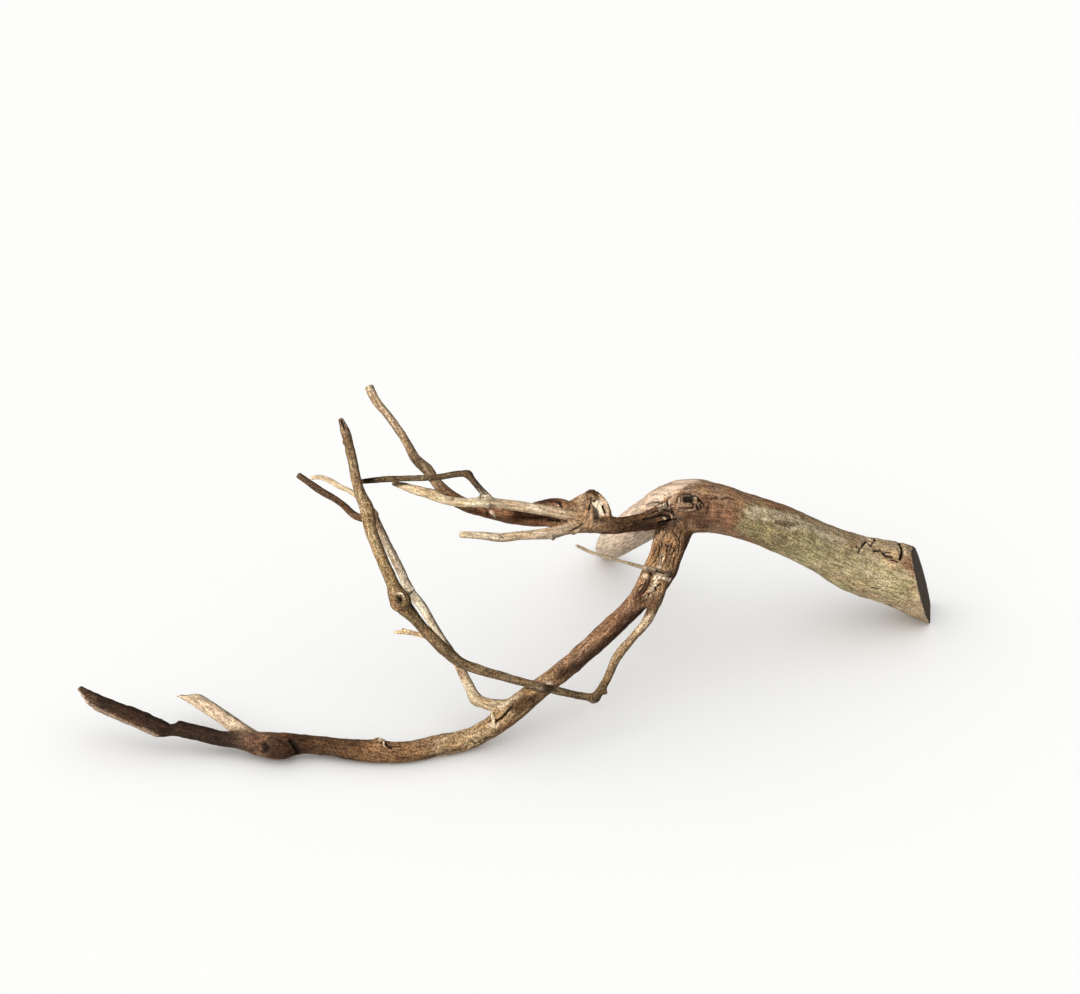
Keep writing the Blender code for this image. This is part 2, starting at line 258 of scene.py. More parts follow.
# rough bark over the old side branch near the saw cut
paint("rough", [(866, 546), (880, 550), (896, 553)], 5.0, 4.0, wobble=1.5)
paint("warm", [(884, 557), (893, 561)], 1.2, 2.0, 0.8)
paint("shade_and_dark_bark", [(876, 541), (886, 545), (894, 549)], 1.6, 2.0, 0.5, wobble=1.0)
crack([(859, 552), (863, 545), (867, 541)], 0.9, 0.9)
crack([(867, 541), (871, 546), (876, 539)], 1.1, 0.9)
crack([(861, 549), (857, 546)], 0.7, 0.6)
crack([(874, 551), (881, 550), (886, 556), (892, 557)], 1.2, 1.1)
crack([(884, 552), (890, 552)], 0.8, 0.8)
crack([(899, 541), (902, 547), (903, 553), (901, 559)], 1.7, 2.0)
crack([(892, 560), (898, 562)], 0.8, 0.8)
ridge([(863, 550), (872, 552), (880, 555), (889, 561)], 1.6, 0.5)
ridge([(889, 546), (895, 549), (898, 556)], 1.6, 0.6)
ridge([(869, 539), (878, 543), (886, 545)], 1.6, 0.6)


# The elbow: an overgrown knot like a half-shut eye in folds of thick fissured bark. Above
# it the bark has come off down to pale wood, and a dark tongue of bark is left.

paint("bare", [(650, 499), (664, 490), (680, 484), (692, 479.5), (708, 479.5)], 3.4, 1.2, wobble=0.8)
paint("bare", [(656, 502), (668, 492), (680, 486)], 2.2, 1.2, wobble=0.6)
paint("bare", [(685.5, 489), (692, 486.6), (704, 485.6), (720, 488), (740, 493)], 1.3, 0.5, -1.0)
paint("shade_and_dark_bark", [(685.5, 489), (691, 487), (700, 486.4), (714, 488.5)], 1.0, 1.0, 0.6)
# painted shadow under the lifted edge of the bark tongue
paint("shade_and_dark_bark", [(700, 480.5), (704, 481)], 0.5, 0.6, 0.7)
# painted shade under the dark branch and beside the eye knot
paint("shade_and_dark_bark", [(667, 523), (674, 526), (681, 530)], 2.4, 3.2, 0.75)
paint("shade_and_dark_bark", [(636, 524), (652, 526), (667, 527)], 2.4, 3.4, 0.75)
paint("shade_and_dark_bark", [(704, 500), (706, 510), (700, 518)], 2.2, 3.0, 0.8)
ridge([(683, 488.6), (688, 485.4), (700, 484.2), (712, 486)], 1.0, 0.45)
# the eye's hollow, lids and folds; the hollow and the folds carry painted shade and the lids' edges pale
# painted highlights
crack([(685.5, 496.2), (691.5, 496.4), (691.5, 500.4), (685.5, 500.4)], 2.6, 3.0)
paint("dark", [(686, 496.6), (691, 496.6), (691.4, 499.6), (686, 499.6)], 1.5, 0.6, 0.96)
crack([(692.4, 501.5), (694.4, 504.8)], 1.1, 1.0)
crack([(676.8, 502), (677.2, 497.4), (680.8, 494.2), (685, 492.7), (690, 493), (694.5, 494.8),
      (698.6, 497.2), (701.6, 501), (703.8, 505.5)], 0.7, 0.8)
ridge([(681, 492.3), (686, 490.8), (692, 491.2), (698, 493.5)], 1.0, 0.5)
ridge([(679.4, 498), (679.8, 502.6)], 1.0, 0.6)
ridge([(682.2, 497), (682, 501.6)], 0.9, 0.5)
crack([(680.8, 497), (681, 502)], 0.4, 0.4)
paint("pale", [(679.4, 498), (679.8, 502.6)], 0.35, 0.4, 0.35)
ridge([(683.6, 503.6), (686, 502.9), (688.6, 503.4)], 1.1, 0.9)
paint("pale", [(683.8, 503.4), (686, 502.8), (688.4, 503.2)], 0.3, 0.4, 0.6)
crack([(686.2, 503.6), (686.6, 503.8)], 0.5, 0.6)
ridge([(679.5, 506), (685, 506.3), (691, 506)], 1.2, 0.5)
crack([(678.8, 508.1), (686, 508.7), (693.6, 508)], 0.8, 1.1)
ridge([(679, 510.4), (687, 511), (694, 510)], 0.9, 0.7)
paint("pale", [(680, 510.2), (687, 510.6), (694, 509.8)], 0.25, 0.4, 0.45)
ridge([(695.4, 498), (696.6, 500.6), (695.6, 503.6)], 1.0, 0.7)
paint("pale", [(695.4, 498), (696.4, 500)], 0.35, 0.4, 0.6)
ridge([(697.4, 504.6), (700.4, 502.8)], 0.9, 0.6)
paint("pale", [(697.4, 504.4), (700.4, 502.8)], 0.35, 0.4, 0.5)
crack([(698.4, 497.6), (700, 500), (701.2, 502)], 1.0, 0.9)
crack([(696.6, 505), (697.4, 508), (699, 510)], 0.8, 0.8)
crack([(701, 505), (701.6, 508.6)], 0.6, 0.5)
ridge([(704.6, 497), (707.4, 503), (705.6, 511)], 1.4, 0.5)
# painted shade in the folds round the eye and below it
paint("shade_and_dark_bark", [(676, 506), (676.4, 498), (682, 492.4), (691, 491.6), (698.6, 495), (703, 502)], 1.0, 1.4,
      0.6)
paint("shade_and_dark_bark", [(680.5, 496.5), (681, 503), (685, 506.5), (692, 506)], 1.2, 1.2, 0.45)
paint("shade_and_dark_bark", [(698, 500), (700, 507), (699, 513)], 1.6, 2.2, 0.8)
paint("shade_and_dark_bark", [(685, 513.5), (694, 515), (703, 516)], 1.8, 3.0, 0.75)
paint("shade_and_dark_bark", [(691, 518), (699, 521), (704, 526)], 2.0, 3.0, 0.85)
paint("shade_and_dark_bark", [(685, 520), (686, 528)], 1.2, 2.2, 0.8)
# curled bark left of the eye
crack([(662, 503), (664, 496), (670, 493)], 0.8, 0.7)
crack([(668, 507), (667, 500), (671, 496)], 0.7, 0.7)
ridge([(665, 505), (665, 498), (669, 494)], 1.3, 0.7)
ridge([(671, 511), (670, 503), (673, 498)], 1.3, 0.7)
crack([(674, 515), (671, 509)], 0.9, 0.9)
paint("pale", [(664, 497), (669, 494.5)], 0.5, 0.8, 0.5)
paint("pale", [(661, 507.5), (666, 505), (669, 502)], 1.1, 1.6, 0.55, wobble=0.6)
paint("pale", [(663.4, 517), (664.6, 520)], 0.6, 1.0, 0.6)
# fissures that run from the eye to the dark branch
crack([(672, 512), (664, 509), (656, 511), (648, 514)], 0.9, 1.0)
crack([(670, 517), (662, 515), (652, 518), (644, 519)], 1.0, 1.1)
crack([(676, 520), (668, 521), (660, 523)], 1.2, 1.3)
ridge([(673, 509), (664, 506), (655, 508), (646, 512)], 1.3, 0.8)
ridge([(672, 514.5), (663, 512), (654, 514.5), (645, 516.5)], 1.2, 0.8)
ridge([(675, 517.5), (667, 518.5), (658, 520)], 1.2, 0.8)
paint("rough", [(650, 504), (660, 508), (672, 512), (676, 520)], 3.4, 3.0, 0.9)
paint("rough", [(648, 502), (656, 499)], 2.0, 2.0, 0.8)
crack([(646, 505), (652, 502), (659, 502)], 0.8, 0.6)
crack([(650, 509), (656, 505.5)], 0.7, 0.6)


# The main branch grows out of the elbow towards the viewer, comes down to the ground and
# runs along it to the left. Its bark is red-brown, fissured near the elbow and in long
# low ridges further on.

limb("main branch", [
    (72, -6, 80, 20), (71, -7.5, 77, 18.6), (68.2, -12, 68, 15.6), (62, -20.5, 55.5, 14.8),
    (52.5, -29.5, 47, 10), (36.5, -42.5, 37, 9.6), (18, -55, 26, 9), (10.5, -60, 22.5, 9.2),
    (-3, -67, 14.5, 10.8), (-17, -75, 7, 9.4), (-28, -79.5, 4.6, 9.6), (-37, -82, 4.6, 9.6),
    (-52.5, -87, 4.2, 9.4), (-64, -87, 4.6, 10), (-73, -86.5, 4.8, 9.6), (-91, -84, 5.5, 8.2),
    (-100, -84, 6.5, 9.2), (-109, -85.5, 6.5, 12.2), (-118, -84, 6.5, 10.8), (-127.5, -82, 7, 7.8),
    (-136.5, -81, 7.5, 7), (-152.5, -78, 10, 7.2), (-157, -77.5, 10.5, 7.2), (-166, -78, 11.5, 8.8),
    (-173, -75.5, 13.8, 8.8), (-182, -73.5, 16, 8.8), (-196, -69.5, 20.5, 8.2),
    (-202, -67, 23.5, 6.6),
], tones=[
    (0.0, "a07e5e"), (0.09, "a5825f"), (0.15, "82624a"), (0.27, "846850"), (0.38, "9a805e"),
    (0.46, "a68d6c"), (0.54, "7a5b3e"), (0.64, "5f452c"), (0.70, "5b3c27"), (0.79, "483526"),
    (0.93, "543b28"), (1.0, "4c3c2e"),
], ridges=0.32, lumps=0.5)

# ridges and grooves of the thick upper part
paint("rough", [(668, 536), (664, 552), (656, 572), (646, 590)], 6.0, 4.0, 0.8)
# painted shade along the branch's right side, which faces away from the key lamp
paint("shade_and_dark_bark", [(688, 536), (686, 552), (680, 568), (668, 588), (652, 606), (636, 622)], 3.0, 3.6, 0.9)
paint("shade_and_dark_bark", [(641, 603), (632, 612), (622, 621)], 1.3, 2.6, 0.75, wobble=0.6)
paint("shade_and_dark_bark", [(640, 612), (606, 643), (584, 661), (566, 672), (548, 688), (530, 700), (516, 708)], 2.7,
      3.4, 0.9, wobble=0.8)
crack([(659, 546), (658, 553), (655.5, 558.5), (652.5, 563)], 0.9, 0.6)
crack([(664, 534), (661, 540), (661.5, 547)], 0.6, 0.35)
crack([(676, 535), (680, 541), (679, 552)], 0.6, 0.35)
crack([(671, 560), (668.5, 567)], 0.6, 0.35)
crack([(675, 557), (673.5, 566)], 0.8, 0.4)
crack([(662, 556), (661, 565)], 0.5, 0.25)
ridge([(663, 553), (662, 561), (659.5, 568)], 1.8, 0.35)
ridge([(656, 546), (653, 556), (648, 564)], 1.2, 0.35)
paint("pale", [(662.5, 555), (661, 562), (659, 568)], 0.8, 1.4, 0.45)
# painted shade in the groove beside it
paint("shade_and_dark_bark", [(655, 547), (652, 559), (647, 567)], 0.9, 1.4, 0.45)
# a lozenge scar
crack([(669.5, 546), (665.4, 549.6), (670, 555), (675, 550.4), (671, 546.2)], 0.5, 0.35)
ridge([(669.5, 548.2), (667.6, 549.8), (670, 552.8), (673, 550.4), (669.5, 548.2)], 0.8, 0.35)
crack([(665.6, 545), (667, 546.4)], 0.9, 0.6)
# painted shade inside the scar
paint("shade_and_dark_bark", [(669.6, 550), (670, 551.4)], 0.4, 0.5, 0.6)
# the ring where the fine twig lay across, the pale scar under it and its forked fissure
ridge([(645, 567.5), (655.5, 569.8), (663.4, 572.3), (671, 575)], 1.6, 0.9)
crack([(655.7, 571.2), (663.4, 573.8), (671, 576.4)], 0.8, 0.9)
# painted shade along the ring's crack
paint("shade_and_dark_bark", [(657, 570), (664, 572.5), (671, 575)], 0.8, 0.8, 0.7)
crack([(649.6, 572.6), (650.6, 574.8)], 1.6, 1.6)
paint("dark", [(649.8, 573), (650.4, 574.6)], 0.6, 0.5, 1.0)
paint("pale", [(643.5, 575), (646, 577)], 0.8, 1.0, 0.7)
paint("pale", [(657.8, 576), (664, 577.5), (670, 579.5)], 0.9, 0.7, 0.95)
paint("pale", [(655.5, 577), (655.5, 583.5), (650.8, 590)], 0.9, 1.0, 0.8)
paint("pale", [(650.5, 592), (645, 598)], 0.5, 0.8, 0.5)
crack([(663, 577), (664.6, 576)], 0.5, 0.4)
crack([(657.4, 586), (661, 583.6)], 0.8, 0.7)
crack([(655.2, 587.4), (655.6, 590)], 0.9, 0.9)
crack([(649.5, 593.8), (648.6, 595.8)], 0.9, 0.8)
crack([(646, 580), (643, 588), (638, 594)], 0.6, 0.5)
crack([(650, 579), (648, 586), (643, 594)], 0.6, 0.5)
crack([(641, 584), (636, 592)], 0.6, 0.4)
paint("shade_and_dark_bark", [(649, 580), (644, 589), (637, 598)], 1.6, 2.0, 0.6, wobble=0.6)
paint("warm", [(649, 580), (644, 589), (637, 598)], 1.6, 2.0, 0.8)
ridge([(648, 582), (641, 593), (632, 604)], 1.2, 0.35)
# buds and scars further down the branch
ridge([(380, 739.5), (384, 741), (384, 745), (380, 745), (380, 739.5)], 1.2, 0.8)
paint("pale", [(380, 740), (384, 741), (384, 745)], 0.6, 0.9, 0.7)
crack([(382, 742.5), (382, 743)], 0.6, 0.8)
crack([(387, 744), (391, 747)], 1.5, 1.0)
crack([(393, 746), (402, 747)], 0.6, 0.3)
# painted shade along the branch's underside, low by the floor
paint("shade_and_dark_bark", [(400, 758), (430, 757), (460, 748)], 1.0, 2.2, 0.6)
paint("shade_and_dark_bark", [(300, 758), (330, 757), (360, 760)], 1.0, 2.4, 0.6)
ridge([(500, 716), (504, 713), (508, 708), (514, 703)], 2.2, 0.9)
ridge([(491, 711), (493.5, 716), (495, 722)], 1.6, 0.7)
crack([(496.2, 722.5), (497, 720.4), (502, 718), (505.5, 714.5), (508, 711), (513, 706.5)], 0.9, 1.5)
crack([(489, 717), (491, 714)], 0.8, 0.7)
crack([(488.4, 722), (490.6, 720)], 0.8, 0.7)
crack([(485, 740), (490.5, 736.5)], 0.9, 0.5)
paint("pale", [(491, 711), (493, 718), (494, 723)], 0.7, 0.8, 0.6)
paint("pale", [(489, 726), (497, 725)], 1.0, 1.0, 0.5)
paint("pale", [(500, 707), (508, 702), (518, 695)], 1.0, 2.0, 0.5)
paint("pale", [(541, 690), (549, 684)], 1.3, 2.0, 0.6)
paint("warm", [(500, 730), (515, 722)], 1.4, 2.0, 0.8)
crack([(472, 741), (476, 744), (481, 741)], 0.7, 0.5)
# the swollen knot by the split stub: fibres on the left, and hollows with painted shade
paint("warm", [(250, 741), (262, 739)], 2.6, 3.0)
paint("shade_and_dark_bark", [(268, 747), (280, 750), (300, 746)], 5.0, 4.0, 0.7)
crack([(264, 744), (267, 748), (265, 752)], 2.2, 1.4)
crack([(292, 740), (296, 746), (299, 753)], 2.2, 1.4)
ridge([(270, 740), (279, 743), (287, 750)], 2.0, 0.7)
ridge([(272, 752), (282, 756), (291, 755)], 1.4, 0.5)
paint("shade_and_dark_bark", [(110, 700), (150, 716), (175, 726), (215, 735), (250, 742)], 6.0, 4.0, 0.75)
paint("shade_and_dark_bark", [(310, 744), (335, 747), (352, 748)], 5.0, 6.0, 0.5)


# The front twig leaves the upper part of the main branch, drops to a corner and curves up to
# the highest tip. Its bark is thin and olive-brown, and an old knot sits half way up.

limb("front twig", [
    (62, -20, 58, 8), (63.5, -25.5, 55, 6.8), (62.3, -29.5, 50.5, 5.8), (60.3, -33.5, 47, 5.2),
    (56.8, -39.5, 43, 4.4), (51.2, -46, 39.5, 3.6), (43.7, -54, 34, 4.2), (38, -63.5, 26.5, 3.6),
    (34.6, -68.4, 23.3, 3.8), (32.6, -70.2, 22.1, 4.9), (30.2, -70.6, 22.8, 3.5),
    (26.5, -71, 23.8, 3.4), (8, -71.5, 29.3, 3.6), (-10, -73.5, 36.5, 4), (-18.5, -75, 40.5, 4.4),
    (-27.5, -75.5, 45, 4.8), (-34, -75, 51, 5.4), (-40.5, -74, 58, 5), (-47, -72.5, 66, 5.2),
    (-54, -71, 75, 8.4), (-57, -68, 82, 5.8), (-63.5, -61, 95.5, 5.2), (-66.5, -57, 102.5, 5.4),
    (-68.5, -51, 110.5, 6.2), (-71.5, -47, 116, 4.8), (-76, -35, 131, 4.4), (-78.5, -29, 138, 4),
    (-80.5, -26, 142, 2.2),
], tones=[
    (0.0, "9a7c5c"), (0.12, "b59e80"), (0.2, "846c4e"), (0.3, "544430"), (0.45, "7e6a50"),
    (0.58, "604e38"), (0.68, "806b4c"), (0.8, "96805f"), (1.0, "6a5440"),
], ridges=0.22, lumps=0.25)

# the knot half way up, with a hole in it
crack([(398.6, 598.2), (400.2, 601.5)], 3.0, 3.6)
paint("dark", [(398.6, 597.8), (400.2, 602)], 1.0, 0.8, 1.0)
ridge([(395, 598), (397, 594), (401.5, 594), (404.5, 599), (403, 604), (398, 606)], 1.2, 0.8)
paint("pale", [(397, 593.5), (402, 594), (405, 599)], 0.35, 0.7, 0.6)
paint("warm", [(393, 602), (396, 608), (402, 611)], 1.6, 2.0, 0.7)
crack([(394, 611), (399, 613)], 0.7, 0.5)
ridge([(391, 606), (396, 610)], 1.4, 0.7)
# painted shade on the knot's right side
paint("shade_and_dark_bark", [(405, 590), (411, 600), (414, 610)], 1.2, 1.6, 0.7)
# scars and buds
crack([(338, 447), (340, 449)], 1.0, 0.6)
ridge([(336, 443), (338, 446)], 1.2, 0.5)
crack([(342, 421), (344.5, 428)], 0.8, 0.9)
crack([(555, 689), (558, 692)], 0.7, 0.4)
ridge([(609, 697), (612, 695)], 1.3, 0.6)
paint("shade_and_dark_bark", [(594, 699), (600, 701)], 1.0, 1.4, 0.6)


# The rear twig grows from the top of the main branch near the ground and leans back. Its bark
# is worn pale, and it ends in two forks, a dark one and a pale one.

limb("rear twig", [
    (-4, -67.5, 14.5, 8.5), (-11.5, -66.5, 15, 6.2), (-18, -64.5, 15.8, 5.2),
    (-21.4, -62.9, 16.8, 5.9), (-22.9, -61.2, 19.4, 4.9), (-26, -58, 24.8, 4.4),
    (-30, -54.5, 31.4, 4), (-39.8, -48, 45.5, 3.8), (-45, -44.5, 54, 4), (-51.5, -41.5, 62, 4.8),
    (-54.2, -39.5, 68.5, 4), (-63.2, -33.5, 86, 4.2), (-67.4, -31.5, 95, 4.4),
], tones=[
    (0.0, "a08a6a"), (0.3, "ae9c82"), (0.6, "bcae98"), (1.0, "8a7660"),
], ridges=0.18, lumps=0.22, speckle=0.65)

# a ring scar with a pale edge, and the branching point
crack([(408, 592.5), (410, 594), (413, 592)], 0.7, 0.5)
paint("pale", [(409, 590.5), (414, 589)], 0.35, 0.6, 1.0)
ridge([(409, 590.5), (414, 589)], 1.0, 0.5)
crack([(456, 667), (461, 668)], 0.8, 0.5)
paint("warm", [(458, 670), (461, 675)], 1.4, 2.0, 0.7)

limb("dark rear fork", [
    (-65, -32, 94, 4), (-74, -34, 96, 3.4), (-81.5, -33.5, 103, 3), (-90.5, -33.5, 109.5, 3.2),
    (-100, -33.5, 117.5, 2.8),
], tones=[
    (0.0, "6a513a"), (1.0, "5a4432"),
], ridges=0.12, lumps=0.15)

limb("pale rear fork", [
    (-66, -31.5, 95, 3.6), (-70, -27, 98, 2.8), (-77, -20, 100.5, 2.4), (-83, -15.5, 101, 2.4),
    (-88, -11.5, 102, 2.4), (-92.5, -8.5, 102, 2.2), (-97, -6.5, 100.5, 1.8),
], tones=[
    (0.0, "a88f70"), (1.0, "c2b092"),
], ridges=0.1, lumps=0.12, speckle=0.5)


# The dark branch runs left from the elbow to a knob. Its bark is thick, nearly black in
# places and furrowed along its length.

limb("dark branch", [
    (74, -5, 83, 17), (66, -9.5, 83, 12), (59, -14.5, 82.6, 9.4), (52, -18.5, 83.5, 7.8),
    (44.5, -22.5, 84.6, 7.4), (36, -26, 88, 9.6), (31, -27, 90, 11.6), (24, -27, 92, 10.6),
    (18, -26, 92.5, 8),
], tones=[
    (0.0, "7a5a42"), (0.5, "5e442c"), (0.75, "6e4a2e"), (1.0, "967250"),
], ridges=0.45, lumps=0.4)


# The ribbon twig runs left from the knob and tapers to a point. It has lost nearly all its
# bark, so it is smooth weathered wood.

limb("ribbon twig", [
    (33, -28, 91.5, 6.4), (25, -30.5, 94, 5.2), (17, -32.5, 97, 4.8), (-1, -35, 102, 4.6),
    (-14, -36, 104.5, 4.4), (-32, -35.5, 105, 4), (-41, -32.5, 106.8, 4.6), (-50.5, -29, 108, 3.8),
    (-58.5, -26, 109, 2),
], tones=[
    (0.0, "a88a68"), (0.3, "c2ae94"), (0.6, "bcaa8e"), (1.0, "beaa8a"),
], ridges=0.15, lumps=0.2, speckle=0.5)

# scraps of bark on its upper edge
paint("shade_and_dark_bark", [(427, 489), (436, 491), (446, 495), (453, 499)], 0.8, 0.9, 0.85, wobble=0.4)
ridge([(427, 489), (436, 491), (446, 495), (453, 499)], 1.2, 0.5)
ridge([(479, 497.5), (481, 495.8), (484, 496.5), (488, 496)], 1.3, 0.9)
crack([(480, 498), (482.5, 497.5)], 0.8, 0.7)
paint("pale", [(484, 496), (491, 497)], 0.6, 0.9, 0.7)


# The upper twig leaves the knob behind the ribbon twig, sags under it and rises to a broken
# tip. It has red-brown bark low down and greyer bark higher up.

limb("upper twig", [
    (24, -27, 90, 9), (13, -20.5, 87, 7.6), (-1, -14.5, 84.5, 7.8), (-10, -10, 84, 7.8),
    (-19.5, -7, 84.6, 7), (-27.5, -5, 86, 6.2), (-35, -3, 90.5, 5.6), (-40.5, -0.5, 96, 4.8),
    (-44, 3, 99.5, 5.2), (-49.2, 7, 103, 4.6), (-54.2, 12, 110, 3.8), (-61.4, 20, 117.2, 3.8),
    (-68.5, 27.5, 123, 4), (-71.8, 32.5, 127.8, 4.4),
], tones=[
    (0.0, "785438"), (0.35, "76523a"), (0.6, "766048"), (0.85, "a08a70"), (1.0, "b09a80"),
], ridges=0.2, lumps=0.25, speckle=0.8)

# painted shade on its side under the ribbon twig, with a pale bridge of wood across
paint("shade_and_dark_bark", [(470, 511), (500, 519), (540, 524)], 2.0, 3.0, 0.22)
ridge([(488, 506), (491, 511), (496, 517)], 1.5, 0.9)
paint("pale", [(488, 506), (491, 511), (495, 516)], 0.5, 0.9, 0.8)
crack([(486, 509), (488, 515)], 0.9, 0.7)
crack([(548, 520), (556, 521), (566, 522)], 1.1, 1.0)
# painted shade along the twig's right edge
paint("shade_and_dark_bark", [(366, 392), (375, 402), (390, 424), (402, 440)], 0.6, 1.4, 0.5)


# The pale twig is a short one in front of the knob, without bark, broken off at its end and
# with a bud on its underside.

limb("pale twig", [
    (33, -28.5, 88.5, 6.6), (21.5, -35, 90.3, 5), (13.5, -39.5, 90.8, 5.2), (-0.5, -45.5, 93, 3.9),
    (-9.5, -48.5, 93.8, 4), (-18.5, -50.5, 96, 3.4), (-27.5, -53, 98, 2.9),
], tones=[
    (0.0, "b8a084"), (0.5, "c2ae94"), (1.0, "c0ae94"),
], ridges=0.15, lumps=0.2, speckle=0.5)

# bark scraps where it leaves the branch, a bud and a ring
crack([(570, 532), (577, 528), (583, 524)], 0.8, 0.6)
ridge([(573, 534), (580, 529)], 1.1, 0.6)
paint("pale", [(574, 534), (580, 529)], 0.4, 0.7, 0.8)
ridge([(551, 537), (553, 538.5)], 1.6, 0.9)
crack([(499, 534), (503, 538)], 0.6, 0.3)
crack([(504, 534), (500, 539)], 0.6, 0.3)


# The cross twig rises from the ribbon twig to a bud, turns there and runs left. It is thin
# and dark, with its bark whole.

limb("cross twig", [
    (-13, -36, 104.5, 3.4), (-19, -30.5, 108.8, 3), (-22.6, -27.4, 112, 3),
    (-24.2, -26, 113.4, 3.9), (-26.4, -25.8, 113.7, 2.9), (-37.5, -27.5, 112.9, 2.8),
    (-54.5, -32, 114.6, 2.6), (-60.5, -33, 114.9, 2.8), (-73.5, -35.5, 114.8, 2.2),
], tones=[
    (0.0, "46362a"), (0.15, "3e3228"), (0.28, "564430"), (0.6, "64523a"), (1.0, "54442e"),
], ridges=0.1, lumps=0.12)


# The finest twigs: one lies across the gap under the dark branch, and a barb of two prongs
# stands on the front twig's knot. They are pale and almost smooth.

limb("fine twig", [
    (66, -20, 60, 3.6), (66.5, -25.5, 60.5, 2.6), (61, -27.5, 63.5, 2.2), (54, -30.5, 67.5, 1.8),
    (42.5, -35, 74, 1.5), (31, -39, 80.5, 1.5), (24, -40.5, 85, 1.5),
], tones=[
    (0.0, "8c765e"), (0.3, "b8a48a"), (1.0, "bea98e"),
], ridges=0.05, lumps=0.05, speckle=0.6)

limb("barb", [
    (-40.5, -74, 57.5, 2.6), (-46.5, -69, 55.7, 2), (-51, -65.5, 54.2, 1.8),
    (-57.6, -62.5, 52.6, 1.5),
], tones=[
    (0.0, "a88a64"), (1.0, "bda27c"),
], ridges=0.05, lumps=0.05)

limb("barb's upper prong", [
    (-45, -70.5, 56.2, 1.8), (-49, -68, 56.2, 1.4), (-54, -64.5, 55.6, 1.2),
], tones=[
    (0.0, "b49a78"), (1.0, "c8b08c"),
], ridges=0.02, lumps=0.02)


# The split stub is what is left of a side branch that was torn off along its fibres. It
# shows pale wood, with bark only near the branch and along its upper edge.

limb("split stub", [
    (-117, -85, 7, 8.4), (-122, -81.5, 8, 7.6), (-133.5, -71.5, 10.2, 6.6),
    (-144.5, -63, 12.8, 6.4), (-152, -58, 14.4, 5.8), (-158, -54.5, 15, 4.6),
], tones=[
    (0.0, "8a7050"), (0.25, "a89474"), (1.0, "b6a484"),
], ridges=0.15, lumps=0.2, speckle=0.9, bare=((0.0, 0.2), (0.2, 0.6), (1.0, 0.6)))

# bark left along its upper edge, and brown streaks
paint("shade_and_dark_bark", [(208, 699), (222, 708), (238, 719)], 0.6, 1.4, 0.6)
paint("shade_and_dark_bark", [(193, 700), (205, 708), (222, 720)], 0.2, 0.9, 0.4, wobble=0.4)
paint("shade_and_dark_bark", [(186, 695), (197, 699), (206, 700)], 0.3, 0.8, 0.5, wobble=0.4)


# The knob, where a branch was torn off: a short thick body with two sloping shoulders that
# meet in a peak. Its torn face is pale wood with dark cracks.

limb("knob", [
    (29, -27, 90.5, 13.5), (30.6, -24.5, 94.5, 12.4), (31.4, -22.2, 98, 8),
    (31.8, -20.4, 100.8, 3.6),
], tones=[
    (0.0, "a4876a"), (1.0, "8a6e54"),
], ridges=0.30, lumps=0.4)

limb("knob's right rim", [
    (31.8, -19.9, 101.6, 2.2), (33.4, -20.8, 99.3, 3.6), (35.8, -21.8, 97, 4.4),
    (37.2, -22.8, 94.6, 4.8), (38.2, -24.2, 91, 5.2), (38, -25.5, 87.5, 5.4),
], tones=[
    (0.0, "6a4e38"), (0.3, "a5875f"), (1.0, "8a6c4c"),
], ridges=0.2, lumps=0.3)

limb("knob's left slope", [
    (31.8, -19.9, 101.6, 2.2), (29.6, -20.8, 99.4, 4), (27, -21.8, 97.2, 5.4),
    (23.5, -23.2, 95, 6.4), (19, -24.5, 93, 6.4),
], tones=[
    (0.0, "6a4e38"), (0.3, "b09474"), (1.0, "9a7858"),
], ridges=0.25, lumps=0.3)

# the torn pale face of the knob, brightened further with painted light, its rim and its cracks with
# painted shade
paint("bare", [(594.5, 503.5), (599, 505), (600, 511), (593.5, 512)], 1.9, 0.5)
paint("pale", [(594, 503.5), (599, 505), (600, 511), (593.5, 512)], 1.8, 0.5, 1.0)
paint("bare", [(600, 511), (604, 513)], 0.9, 0.5)
paint("pale", [(600, 511), (604, 513)], 0.9, 0.5, 1.0)
ridge([(597, 493), (603, 498), (607.5, 504), (610, 513)], 1.4, 0.5)
crack([(591.5, 498), (592.8, 501), (591, 505), (589.3, 509)], 1.1, 1.2)
crack([(592, 501), (595.2, 501.8)], 0.9, 1.0)
crack([(603.2, 506.5), (604.4, 509.5), (605.8, 513)], 1.1, 1.2)
paint("dark", [(592.6, 500.4), (589.6, 508)], 0.35, 0.4, 1.0)
paint("dark", [(603.6, 507), (605.6, 512.6)], 0.35, 0.4, 1.0)
paint("shade_and_dark_bark", [(589.5, 491), (592.5, 489.5), (595, 493)], 1.9, 1.4, 0.9)
paint("shade_and_dark_bark", [(584, 505), (588, 512), (586, 518)], 0.6, 1.6, 0.4)
# painted shade under the knob
paint("shade_and_dark_bark", [(604, 518), (596, 519)], 1.5, 1.8, 0.7)
paint("shade_and_dark_bark", [(586, 495), (588, 499)], 0.6, 0.8, 0.6)


# The ridge stub is the low foot of a lost twig, pressed against the knob's left shoulder.
# Its bark is red-brown and nearly black along the crest.

limb("ridge stub", [
    (26, -26.5, 93, 6.4), (20, -25.5, 96.6, 5.6), (14.5, -25, 97.8, 4.6), (9, -24.8, 97.2, 3.4),
    (2.5, -24.4, 96, 2), (-2.5, -23.8, 94.6, 1.6),
], tones=[
    (0.0, "6e4a34"), (1.0, "5c3d2a"),
], ridges=0.3, lumps=0.3)

crack([(560, 503), (562, 508)], 0.9, 0.9)
paint("shade_and_dark_bark", [(540, 501), (548, 500.5), (555, 500.5), (559, 503)], 1.1, 1.2, 0.9)
paint("pale", [(558, 505), (560, 509)], 0.5, 0.7, 0.7)


# Swellings under the bark where twigs and buds sat, as centres and half widths in mm. The
# breaks are the torn and sawn ends: a point in mm, the way out of the wood, how far the cut
# reaches and how rough it is. The notch is a corner that was cut out near the left tip.

